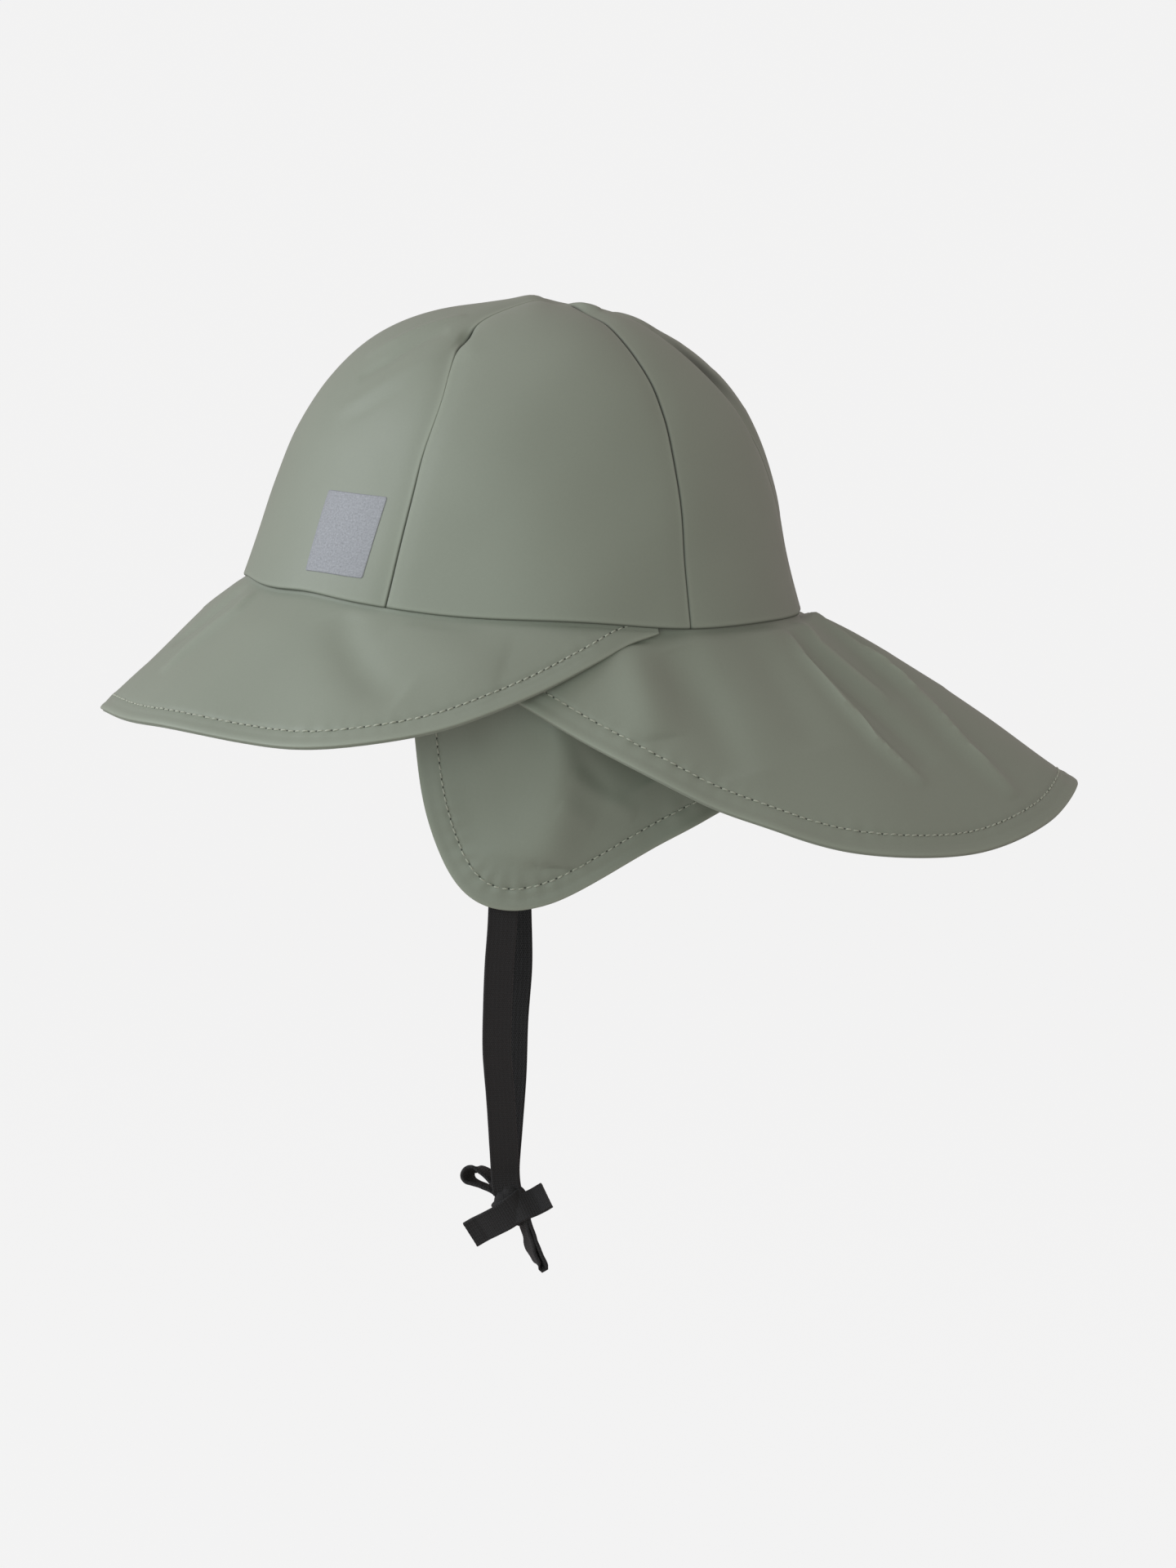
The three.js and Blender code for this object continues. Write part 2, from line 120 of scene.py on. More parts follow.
def gridNormals(points):
    # Each normal is square to the lines through the neighbours along the row and up the column
    along = np.gradient(points, axis=1)
    up = np.gradient(points, axis=0)
    return unit(np.cross(along, up))


def nearestOnLine(points, line):
    # Distance of every point to the nearest piece of a line, and the share of the line's length there
    a, b = line[:-1], line[1:]
    run = b - a
    runSquared = np.maximum((run**2).sum(-1), 1e-18)
    flat = points.reshape(-1, 3)
    along = np.clip((flat @ run.T - (a * run).sum(-1)) / runSquared, 0, 1)
    squared = (
        (flat**2).sum(-1)[:, None] + (a**2).sum(-1) - 2 * flat @ a.T
        - 2 * along * (flat @ run.T - (a * run).sum(-1)) + along**2 * runSquared
    )
    best = squared.argmin(-1)
    pick = np.arange(len(flat))
    starts = np.concatenate([[0], np.cumsum(np.sqrt(runSquared))])
    share = (starts[best] + along[pick, best] * np.sqrt(runSquared[best])) / starts[-1]
    distance = np.sqrt(np.maximum(squared[pick, best], 0))
    return distance.reshape(points.shape[:-1]), share.reshape(points.shape[:-1])


def ripple(points, waves):
    # Gentle unevenness of a cloth face: a few long waves through space added up
    total = np.zeros(points.shape[:-1])
    for direction, wavelength, phase, height in waves:
        total += height * np.sin(points @ (2 * np.pi / wavelength * unit(np.array(direction, float))) + phase)
    return total


# Meshes

def gridQuads(corner):
    # The quads between neighbours in a grid of vertex numbers
    quads = np.stack([corner[:-1, :-1], corner[:-1, 1:], corner[1:, 1:], corner[1:, :-1]], axis=-1)
    return quads.reshape(-1, 4)


def addMesh(name, points, faces, material, uv=None, marks=None, sharpAngle=40):
    mesh = bpy.data.meshes.new(name)
    mesh.from_pydata(np.asarray(points).reshape(-1, 3).tolist(), [], [list(face) for face in faces])
    if uv is not None:
        corners = np.zeros(len(mesh.loops), np.int64)
        mesh.loops.foreach_get("vertex_index", corners)
        layer = mesh.uv_layers.new(name="cloth")
        layer.data.foreach_set("uv", np.asarray(uv, np.float32).reshape(-1, 2)[corners].ravel())
    for mark, values in (marks or {}).items():
        attribute = mesh.attributes.new(mark, "FLOAT", "POINT")
        attribute.data.foreach_set("value", np.asarray(values, np.float32).ravel())
    mesh.polygons.foreach_set("use_smooth", np.ones(len(mesh.polygons), bool))
    mesh.set_sharp_from_angle(angle=math.radians(sharpAngle))
    mesh.update()
    for entry in material if isinstance(material, (list, tuple)) else [material]:
        mesh.materials.append(entry)
    piece = bpy.data.objects.new(name, mesh)
    bpy.context.scene.collection.objects.link(piece)
    return piece


def shellPiece(name, outer, inner, material, marks=None):
    # A wall of cloth between an outer and an inner grid, closed all round: rows run up, columns round
    rows, columns = outer.shape[:2]
    corner = np.arange(rows * columns).reshape(rows, columns)
    ring = np.concatenate([corner[0], corner[1:, -1], corner[-1, -2::-1], corner[-2:0:-1, 0]])
    ahead = np.roll(ring, -1)
    below = rows * columns
    faces = np.concatenate([
        gridQuads(corner),
        gridQuads(corner)[:, ::-1] + below,
        np.stack([ring, ring + below, ahead + below, ahead], axis=-1),
    ])
    uv = np.stack([arcLength(outer, 1), arcLength(outer, 0)], axis=-1)
    both = {"inside": np.concatenate([np.zeros(below), np.ones(below)])}
    for mark, values in (marks or {}).items():
        both[mark] = np.concatenate([values.ravel(), values.ravel()])
    points = np.concatenate([outer.reshape(-1, 3), inner.reshape(-1, 3)])
    return addMesh(name, points, faces.tolist(), material, np.concatenate([uv.reshape(-1, 2)] * 2), both)


def finishPiece(piece, slot, *nodes):
    # Every piece of this hat rides on its one body, and stands for the CAD nodes named
    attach(piece, "root")
    if nodes:
        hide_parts(*nodes)
    return piece


# Materials. Sizes in them are in metres, because they read the pieces' own coordinates.

def newGroup(name, inputs, outputs):
    group = bpy.data.node_groups.new(name, "ShaderNodeTree")
    for label, kind, value in inputs:
        socket = group.interface.new_socket(label, in_out="INPUT", socket_type=kind)
        if value is not None:
            socket.default_value = value
    for label, kind in outputs:
        group.interface.new_socket(label, in_out="OUTPUT", socket_type=kind)
    return group, group.nodes.new("NodeGroupInput"), group.nodes.new("NodeGroupOutput")


def addNode(tree, kind, values=None, links=None, **settings):
    # A node with its settings, its sockets' values and the links into it
    node = tree.nodes.new(kind)
    for key, value in settings.items():
        setattr(node, key, value)
    for socket, value in (values or {}).items():
        node.inputs[socket].default_value = value
    for socket, source in (links or {}).items():
        tree.links.new(source, node.inputs[socket])
    return node


def mathNode(tree, operation, first, second=0.0, third=None):
    # first and second are numbers or sockets
    node = tree.nodes.new("ShaderNodeMath")
    node.operation = operation
    for index, value in enumerate([first, second] + ([third] if third is not None else [])):
        if isinstance(value, (int, float)):
            node.inputs[index].default_value = value
        else:
            tree.links.new(value, node.inputs[index])
    return node.outputs[0]


def makeDriftGroup():
    # Colour that wanders a little in lightness over the cloth, in broad soft areas and in a fine speckle
    group, into, out = newGroup(
        "colour_drift",
        [("Vector", "NodeSocketVector", None), ("Color", "NodeSocketColor", (0.5, 0.5, 0.5, 1)),
         ("Broad", "NodeSocketFloat", 0.05), ("Speckle", "NodeSocketFloat", 0.03)],
        [("Color", "NodeSocketColor")],
    )
    broad = addNode(group, "ShaderNodeTexNoise", {"Scale": 22.0, "Detail": 2.0},
                    {"Vector": into.outputs["Vector"]})
    speckle = addNode(group, "ShaderNodeTexNoise", {"Scale": 1400.0, "Detail": 1.0},
                      {"Vector": into.outputs["Vector"]})
    broadPart = mathNode(group, "MULTIPLY", mathNode(group, "SUBTRACT", broad.outputs["Fac"], 0.5),
                         into.outputs["Broad"])
    specklePart = mathNode(group, "MULTIPLY", mathNode(group, "SUBTRACT", speckle.outputs["Fac"], 0.5),
                           into.outputs["Speckle"])
    factor = mathNode(group, "ADD", mathNode(group, "ADD", broadPart, specklePart), 1.0)
    scaled = addNode(group, "ShaderNodeVectorMath", None,
                     {0: into.outputs["Color"], "Scale": factor}, operation="SCALE")
    group.links.new(scaled.outputs["Vector"], out.inputs["Color"])
    return group


def makeGrainGroup():
    # Height of a coated face: small soft pits of the coating over the faint threads of the cloth under it
    group, into, out = newGroup(
        "coating_grain",
        [("Vector", "NodeSocketVector", None), ("Threads", "NodeSocketFloat", 2400.0),
         ("Pits", "NodeSocketFloat", 900.0), ("Thread Share", "NodeSocketFloat", 0.35)],
        [("Height", "NodeSocketFloat")],
    )
    split = addNode(group, "ShaderNodeSeparateXYZ", None, {0: into.outputs["Vector"]})
    across = mathNode(group, "SINE", mathNode(group, "MULTIPLY", split.outputs["X"], into.outputs["Threads"]))
    down = mathNode(group, "SINE", mathNode(group, "MULTIPLY", split.outputs["Y"], into.outputs["Threads"]))
    threads = mathNode(group, "MULTIPLY", mathNode(group, "MULTIPLY", across, down), 0.5)
    pits = addNode(group, "ShaderNodeTexNoise", {"Detail": 2.0, "Roughness": 0.55},
                   {"Vector": into.outputs["Vector"], "Scale": into.outputs["Pits"]})
    height = mathNode(group, "MULTIPLY_ADD", threads, into.outputs["Thread Share"], pits.outputs["Fac"])
    group.links.new(height, out.inputs["Height"])
    return group


def makeWeaveGroup():
    # Woven tape: ribs across it, crossed by the lengthwise yarns in rows that alternate
    group, into, out = newGroup(
        "tape_weave",
        [("Vector", "NodeSocketVector", None), ("Rib", "NodeSocketFloat", 0.0009),
         ("Yarn", "NodeSocketFloat", 0.0007)],
        [("Height", "NodeSocketFloat"), ("Shade", "NodeSocketFloat")],
    )
    split = addNode(group, "ShaderNodeSeparateXYZ", None, {0: into.outputs["Vector"]})
    ribTurn = mathNode(group, "DIVIDE", mathNode(group, "MULTIPLY", split.outputs["Y"], 2 * math.pi),
                       into.outputs["Rib"])
    yarnTurn = mathNode(group, "DIVIDE", mathNode(group, "MULTIPLY", split.outputs["X"], 2 * math.pi),
                        into.outputs["Yarn"])
    rib = mathNode(group, "SINE", ribTurn)
    yarn = mathNode(group, "SINE", yarnTurn)
    half = mathNode(group, "SINE", mathNode(group, "MULTIPLY", ribTurn, 0.5))
    alternate = mathNode(group, "MULTIPLY", yarn, half)
    height = mathNode(group, "MULTIPLY_ADD", alternate, 0.6, mathNode(group, "MULTIPLY", rib, 0.4))
    group.links.new(height, out.inputs["Height"])
    group.links.new(mathNode(group, "MULTIPLY_ADD", height, 0.5, 0.5), out.inputs["Shade"])
    return group


driftGroup, grainGroup, weaveGroup = makeDriftGroup(), makeGrainGroup(), makeWeaveGroup()


def groupNode(tree, group, values, links):
    return addNode(tree, "ShaderNodeGroup", values, links, node_tree=group)


def startMaterial(name):
    material = bpy.data.materials.new(name)
    material.use_nodes = True
    tree = material.node_tree
    shader = tree.nodes["Principled BSDF"]
    return material, tree, shader


clothLook = {
    "colour": (0.222, 0.254, 0.204, 1),
    "reverse": (0.20, 0.228, 0.186, 1),
    "edgeLight": 0.17,
    "creaseShade": 0.7,
    "roughness": 0.56,
    "coat": 0.04,
    "grainDepth": 0.00004,
}


def makeCoatedCloth(look):
    material, tree, shader = startMaterial("coated_cloth")
    place = tree.nodes.new("ShaderNodeTexCoord").outputs["Object"]
    uv = addNode(tree, "ShaderNodeUVMap", uv_map="cloth").outputs["UV"]
    inside = addNode(tree, "ShaderNodeAttribute", attribute_name="inside").outputs["Fac"]
    edge = addNode(tree, "ShaderNodeAttribute", attribute_name="edge").outputs["Fac"]
    faceColour = addNode(tree, "ShaderNodeMix", {6: look["colour"], 7: look["reverse"]}, {0: inside},
                         data_type="RGBA")
    # The edge mark makes the colour lighter, by wear and by painted highlight along seams and fold crests;
    # the crease mark makes it darker, as painted shade in the seams, under the lower edge and beyond the nape
    # seam
    crease = addNode(tree, "ShaderNodeAttribute", attribute_name="crease").outputs["Fac"]
    edgeFactor = mathNode(tree, "MULTIPLY", mathNode(tree, "MULTIPLY_ADD", edge, look["edgeLight"], 1.0),
                          mathNode(tree, "MULTIPLY_ADD", crease, -look["creaseShade"], 1.0))
    lit = addNode(tree, "ShaderNodeVectorMath", None, {0: faceColour.outputs[2], "Scale": edgeFactor},
                  operation="SCALE")
    drift = groupNode(tree, driftGroup, {"Broad": 0.10, "Speckle": 0.05},
                      {"Vector": place, "Color": lit.outputs["Vector"]})
    tree.links.new(drift.outputs["Color"], shader.inputs["Base Color"])
    wander = addNode(tree, "ShaderNodeTexNoise", {"Scale": 60.0, "Detail": 3.0}, {"Vector": place})
    rough = mathNode(tree, "MULTIPLY_ADD", mathNode(tree, "SUBTRACT", wander.outputs["Fac"], 0.5), 0.12,
                     mathNode(tree, "MULTIPLY_ADD", inside, 0.25, look["roughness"]))
    tree.links.new(rough, shader.inputs["Roughness"])
    grain = groupNode(tree, grainGroup, {}, {"Vector": uv})
    bump = addNode(tree, "ShaderNodeBump", {"Strength": 0.5, "Distance": look["grainDepth"]},
                   {"Height": grain.outputs["Height"]})
    tree.links.new(bump.outputs["Normal"], shader.inputs["Normal"])
    shader.inputs["Coat Weight"].default_value = look["coat"]
    shader.inputs["Coat Roughness"].default_value = 0.35
    return material


patchLook = {"colour": (0.252, 0.268, 0.284, 1), "roughness": 0.42, "metallic": 0.25}


def makeReflectiveCloth(look):
    material, tree, shader = startMaterial("reflective_cloth")
    uv = addNode(tree, "ShaderNodeUVMap", uv_map="cloth").outputs["UV"]
    beads = addNode(tree, "ShaderNodeTexVoronoi", {"Scale": 3200.0}, {"Vector": uv})
    drift = groupNode(tree, driftGroup, {"Color": look["colour"], "Broad": 0.08, "Speckle": 0.55},
                      {"Vector": uv})
    tree.links.new(drift.outputs["Color"], shader.inputs["Base Color"])
    tree.links.new(mathNode(tree, "MULTIPLY_ADD", beads.outputs["Distance"], 0.3, look["roughness"]),
                   shader.inputs["Roughness"])
    bump = addNode(tree, "ShaderNodeBump", {"Strength": 0.6, "Distance": 0.00005},
                   {"Height": beads.outputs["Distance"]}, invert=True)
    tree.links.new(bump.outputs["Normal"], shader.inputs["Normal"])
    shader.inputs["Metallic"].default_value = look["metallic"]
    return material


tapeLook = {"colour": (0.012, 0.012, 0.0125, 1), "light": (0.024, 0.024, 0.025, 1), "roughness": 0.8}


def makeWovenTape(look):
    material, tree, shader = startMaterial("black_tape")
    uv = addNode(tree, "ShaderNodeUVMap", uv_map="cloth").outputs["UV"]
    weave = groupNode(tree, weaveGroup, {}, {"Vector": uv})
    colour = addNode(tree, "ShaderNodeMix", {6: look["colour"], 7: look["light"]},
                     {0: weave.outputs["Shade"]}, data_type="RGBA")
    drift = groupNode(tree, driftGroup, {"Broad": 0.2, "Speckle": 0.3},
                      {"Vector": uv, "Color": colour.outputs[2]})
    tree.links.new(drift.outputs["Color"], shader.inputs["Base Color"])
    bump = addNode(tree, "ShaderNodeBump", {"Strength": 0.7, "Distance": 0.00015},
                   {"Height": weave.outputs["Height"]})
    tree.links.new(bump.outputs["Normal"], shader.inputs["Normal"])
    shader.inputs["Roughness"].default_value = look["roughness"]
    shader.inputs["Sheen Weight"].default_value = 0.04
    shader.inputs["Specular IOR Level"].default_value = 0.3
    return material


# The hole colour is painted shade, for the dark inside of a needle hole
threadLook = {"colour": (0.36, 0.39, 0.32, 1), "hole": (0.06, 0.068, 0.055, 1), "roughness": 0.6}


def makeThread(look):
    # Twisted sewing thread: fine slanting strands along each stitch
    material, tree, shader = startMaterial("stitch_thread")
    place = tree.nodes.new("ShaderNodeTexCoord").outputs["Object"]
    drift = groupNode(tree, driftGroup, {"Color": look["colour"], "Broad": 0.2, "Speckle": 0.4},
                      {"Vector": place})
    tree.links.new(drift.outputs["Color"], shader.inputs["Base Color"])
    strands = addNode(tree, "ShaderNodeTexNoise", {"Scale": 4000.0, "Detail": 1.0}, {"Vector": place})
    bump = addNode(tree, "ShaderNodeBump", {"Strength": 0.5, "Distance": 0.00008},
                   {"Height": strands.outputs["Fac"]})
    tree.links.new(bump.outputs["Normal"], shader.inputs["Normal"])
    shader.inputs["Roughness"].default_value = look["roughness"]
    return material


# A flat dark disc of painted shade stands for the inside of a needle hole
def makeNeedleHoleShade(look):
    material, tree, shader = startMaterial("needle_hole_shade")
    place = tree.nodes.new("ShaderNodeTexCoord").outputs["Object"]
    drift = groupNode(tree, driftGroup, {"Color": look["hole"], "Broad": 0.3, "Speckle": 0.2},
                      {"Vector": place})
    tree.links.new(drift.outputs["Color"], shader.inputs["Base Color"])
    shader.inputs["Roughness"].default_value = 0.9
    return material


coatedCloth = makeCoatedCloth(clothLook)
reflectiveCloth = makeReflectiveCloth(patchLook)
wovenTape = makeWovenTape(tapeLook)
threads = [makeThread(threadLook), makeNeedleHoleShade(threadLook)]
print("materials made")


# Crown: sections from the lower edge to the top, each with its reach to the front, to the back and to
# the sides, and its height at the front and at the back
crownSections = table(
    ("front", "frontRise", "back", "backRise", "side"),
    (0.098, 0.0064, 0.0973, -0.0064, 0.082),
    (0.092, 0.023, 0.0918, 0.015, 0.0795),
    (0.0856, 0.041, 0.0876, 0.036, 0.076),
    (0.0781, 0.059, 0.081, 0.056, 0.0705),
    (0.0672, 0.075, 0.072, 0.0714, 0.062),
    (0.052, 0.0882, 0.0588, 0.0845, 0.0505),
    (0.0336, 0.0972, 0.043, 0.0938, 0.0365),
    (0.012, 0.102, 0.028, 0.0987, 0.020),
    (-0.013, 0.1028, 0.013, 0.1028, 0.0),
)

# Where the lower edge leaves its plane: degrees from the front, spread and rise
edgeWaves = [(12, 10, 0.0015), (42, 9, 0.001), (78, 22, -0.002), (125, 20, -0.0022)]
waveFade = 0.3

# The seams in degrees away from the front, by share of the climb
crownSeams = table(
    ("climb", "front", "rear", "nape"),
    (0, 62.3, 126.6, 177.5),
    (0.1, 63.3, 127.2, 176),
    (0.3, 65, 127.5, 172.5),
    (0.48, 66.4, 129, 168.5),
    (0.65, 61.7, 129.6, 168.5),
    (0.82, 57, 133, 176.5),
    (1, 54, 133, 180),
)

# How dark the painted shade in each seam's crease is, and with it how far the cloth rolls into the seam, by
# share of the climb
creaseShow = table(
    ("climb", "front", "rear", "nape"),
    (0, 0.8, 0.7, 0.4), (0.25, 0.7, 1.1, 0.8), (0.37, 0.25, 1.3, 1.6), (0.47, 0.06, 1.3, 2),
    (0.6, 0.2, 1.2, 2), (0.66, 1.3, 1.3, 2), (0.70, 1.3, 1.3, 1.6), (0.75, 0.3, 1.2, 0.8),
    (0.87, 0.15, 1.3, 0.5), (1, 0.2, 1.2, 0.4),
)

# Each panel spans from one seam to the next, and is flatter low down and fuller high up by its shaping.
# flat is the box that its cut fits in, width and height, and area the flat area.
crownPanels = [
    {"name": "crown_front", "from": ("front", -1), "to": ("front", 1), "shaping": 0.0012, "columns": 156,
     "flat": (0.19, 0.163), "area": 0.0195},
    {"name": "crown_side_left", "from": ("front", 1), "to": ("rear", 1), "shaping": 0.0014, "columns": 100,
     "flat": (0.108, 0.151), "area": 0.0107},
    {"name": "crown_back_left", "from": ("rear", 1), "to": ("nape", 1), "shaping": 0.0011, "columns": 82,
     "flat": (0.076, 0.151), "area": 0.0074},
    {"name": "crown_back_right", "from": ("nape", 1), "to": ("rear", -1), "shaping": 0.0011, "columns": 82,
     "flat": (0.0895, 0.151), "area": 0.009},
    {"name": "crown_side_right", "from": ("rear", -1), "to": ("front", -1), "shaping": 0.0014, "columns": 100,
     "flat": (0.108, 0.151), "area": 0.0107},
]

crownMake = {
    "cloth": 0.0012,  # thickness of the wall
    "rows": 118,
    "rowsFrom": 0.017,
    "hemRows": (0, 0.0008, 0.0022, 0.0042, 0.007, 0.011),  # climbs of the close rows at the lower edge
    "tip": 0.998,  # share of the climb where the panels meet
    "climbLength": 0.14,  # metres of cloth that the whole climb stands for
    "crowding": 0.82,  # how much closer the columns lie at the seams
    "seamRoll": 0.0009,  # radius of the cloth as it turns into a seam
    "seamInset": 0.00003,
    "seamDip": 0.0005,
    "dipReach": 0.0045,
    "hemRoll": 0.0009,  # radius of the cloth as it turns in at the lower edge
    # Painted shade: how far the dark line along each seam reaches, and how dark and how wide the one under
    # the lower edge is
    "seamShadeReach": 0.0005,
    "hemShade": 0.85,
    "hemShadeReach": 0.0004,
    "seamWearAndHighlight": 0.0015,  # how far from a seam the cloth is made lighter, by wear and by painted highlight, and how far from the lower edge it is rubbed lighter
    "hemWear": 0.0012,
    "topRise": (0.55, 0.8),  # climbs between which the lobes round the top come in
}

# Painted shade on the strip beyond the nape seam: its middle, its reach along the seam and across, and its
# depth
napeShade = {"climb": 0.58, "along": 0.10, "reach": 0.009, "dark": 0.85}

# Where a seam pulls the cloth in more: the seam, its side, the climb, how far along it, depth and reach
seamPulls = [
    ("front", 1, 0.685, 0.036, 0.0022, 0.0019),
    ("front", 1, 0.60, 0.10, 0.0006, 0.006),
    ("rear", 1, 0.92, 0.05, 0.0012, 0.0016),
    ("rear", 1, 0.84, 0.06, 0.0006, 0.003),
    ("rear", 1, 0.47, 0.05, 0.0005, 0.005),
    ("nape", 1, 0.58, 0.10, 0.0042, 0.0052),
    ("nape", 1, 0.40, 0.06, 0.0010, 0.0035),
]

clothWaves = [  # direction, wavelength, phase and height of the cloth's gentle unevenness
    ((1.0, 0.4, 0.6), 0.071, 0.4, 0.00030),
    ((-0.3, 1.0, 0.5), 0.053, 2.1, 0.00024),
    ((0.5, -0.6, 1.0), 0.043, 4.0, 0.00018),
    ((0.2, 0.9, -0.7), 0.031, 1.3, 0.00008),
]

# Soft folds of the crown, in degrees of turn and share of climb: lines that run from the pulled
# place on the front seam down over the forehead, a small one at the top, and three beside the nape
crownFolds = [
    {"line": [(30, 0.42), (39, 0.468), (46.5, 0.522), (54.5, 0.578), (60.5, 0.64)],
     "width": 0.0034, "height": 0.0007},
    {"line": [(31.5, 0.515), (38, 0.575), (43, 0.64), (50, 0.70)], "width": 0.003, "height": -0.0012},
    {"line": [(24, 0.58), (31, 0.64), (36, 0.70), (44, 0.78)], "width": 0.003, "height": 0.0010},
    {"line": [(36, 0.40), (44, 0.445), (52, 0.50)], "width": 0.0024, "height": -0.0002},
    {"line": [(70, 0.60), (64, 0.66), (60.5, 0.71)], "width": 0.004, "height": 0.0005},
    {"line": [(125, 0.97), (134, 0.94), (143, 0.905), (152, 0.86)], "width": 0.0032, "height": 0.0013},
    {"line": [(184, 0.20), (182, 0.34), (181, 0.46), (181, 0.56)], "width": 0.008, "height": 0.0007},
    {"line": [(177, 0.44), (179, 0.54), (181, 0.66)], "width": 0.009, "height": -0.0004},
    {"line": [(176, 0.73), (180, 0.79), (186, 0.85)], "width": 0.006, "height": 0.0012},
]

# Soft lobes and hollows round the top, where the panels meet: place, reach and height seen from above
topLobes = [
    (-0.006, -0.012, 0.020, 0.012, -0.0008),
    (-0.002, 0.0034, 0.014, 0.0055, 0.0010),
    (0.0, 0.0125, 0.013, 0.0045, -0.0022),
    (0.003, 0.021, 0.014, 0.005, 0.0002),
    (0.026, 0.004, 0.010, 0.006, 0.0004),
]


def awayFromFront(turn):
    return np.abs((turn + 180) % 360 - 180)


def crownPoint(turn, climb):
    # An ellipse at each climb, whose front and back have their own reach and height
    at = {name: smoothCurve(np.arange(9.0), values, climb * 8) for name, values in crownSections.items()}
    angle = np.radians(turn)
    x = at["side"] * np.sin(angle)
    y = (at["back"] - at["front"]) / 2 - (at["back"] + at["front"]) / 2 * np.cos(angle)
    z = (at["frontRise"] + at["backRise"]) / 2 + (at["frontRise"] - at["backRise"]) / 2 * np.cos(angle)
    wave = sum(rise * bell(awayFromFront(turn) - place, spread) for place, spread, rise in edgeWaves)
    z = z + wave * (1 - smoothStep(climb, 0, waveFade))
    return np.stack(np.broadcast_arrays(x, y, z), axis=-1)


def crownNormal(turn, climb):
    # Square to the way round and the way up, each taken between two places close by
    climb = np.minimum(climb, 0.99)
    around = crownPoint(turn + 1, climb) - crownPoint(turn - 1, climb)
    up = crownPoint(turn, np.minimum(climb + 0.01, 1)) - crownPoint(turn, np.maximum(climb - 0.01, 0))
    return unit(np.cross(around, up))


def perDegree(turn, climb):
    return lengthOf(crownPoint(turn + 0.5, climb) - crownPoint(turn - 0.5, climb))


def seamTurn(seam, climb):
    # A seam's turn: side is 1 on the wearer's left and -1 on the right
    name, side = seam
    return side * smoothCurve(crownSeams["climb"], crownSeams[name], climb)


def panelEdges(panel, climb):
    # On the right side the turn goes on past 180, except for the front panel's right edge
    start, end = seamTurn(panel["from"], climb), seamTurn(panel["to"], climb)
    if panel["name"] != "crown_front":
        start, end = start % 360, end % 360
    return start, end


def foldHeights(points, folds, surface):
    # Each fold is a soft ridge or valley along its line, highest in the middle and fading at its ends
    total = np.zeros(points.shape[:-1])
    for fold in folds:
        line = surface(*np.array(fold["line"], float).T)
        distance, share = nearestOnLine(points, line)
        fade = np.sqrt(np.clip(4 * share * (1 - share), 0, 1))
        total += fold["height"] * bell(distance, fold["width"]) * fade
    return total


def seamCreases(panel, turn, climb):
    # The distance to the seams on a panel's two sides, and how much of each crease shows there
    seams = (panel["from"], panel["to"])
    gaps = [abs(turn - seamTurn(seam, climb)) % 360 * perDegree(turn, climb) for seam in seams]
    shows = [smoothCurve(creaseShow["climb"], creaseShow[seam[0]], climb) for seam in seams]
    return gaps, shows


def crownLift(panel, turn, climb):
    # How far the cloth stands off the round form: the panel's shaping, the seams' dips, folds and waves
    start, end = panelEdges(panel, climb)
    share = np.clip((turn - start) / (end - start), 0, 1)
    across = 4 * share * (1 - share) - 0.5
    points = crownPoint(turn, climb)
    scale = perDegree(turn, climb)
    seamDistance = np.minimum(abs(turn - start), abs(end - turn)) * scale
    lift = -panel["shaping"] * np.sin(2 * np.pi * climb) * across
    lift = lift - crownMake["seamDip"] * bell(seamDistance, crownMake["dipReach"])
    for seam, side, place, along, depth, reach in seamPulls:
        gap = abs((turn - seamTurn((seam, side), climb) + 180) % 360 - 180) * scale
        lift = lift - depth * bell(climb - place, along) * bell(gap, reach)
    lift = lift + ripple(points, clothWaves)
    lobes = sum(height * bell(points[..., 0] - x, reachX) * bell(points[..., 1] - y, reachY)
                for x, y, reachX, reachY, height in topLobes)
    lift = lift + lobes * smoothStep(climb, *crownMake["topRise"])
    return lift + foldHeights(points, crownFolds, crownPoint), seamDistance


def rolled(distance, radius):
    # How far a cloth has turned down at a distance from its edge: a quarter circle
    inside = np.clip(1 - distance / radius, 0, 1)
    return radius * (1 - np.sqrt(1 - inside**2))


def panelFace(panel, turn, climb):
    lift, seamDistance = crownLift(panel, turn, climb)
    lift = lift - rolled(climb * crownMake["climbLength"], crownMake["hemRoll"])
    for gap, show in zip(*seamCreases(panel, turn, climb)):
        lift = lift - rolled(gap, crownMake["seamRoll"] * (0.3 + 0.7 * show))
    return crownPoint(turn, climb) + crownNormal(turn, climb) * lift[..., None], seamDistance


def napeStrip(panel, turn, climb):
    # Painted shade, darkest next to the nape seam and fading round the back
    gap = seamCreases(panel, turn, climb)[0][0]
    fade = 1 - smoothStep(gap, napeShade["reach"] / 2, napeShade["reach"])
    return napeShade["dark"] * bell(climb - napeShade["climb"], napeShade["along"]) * fade


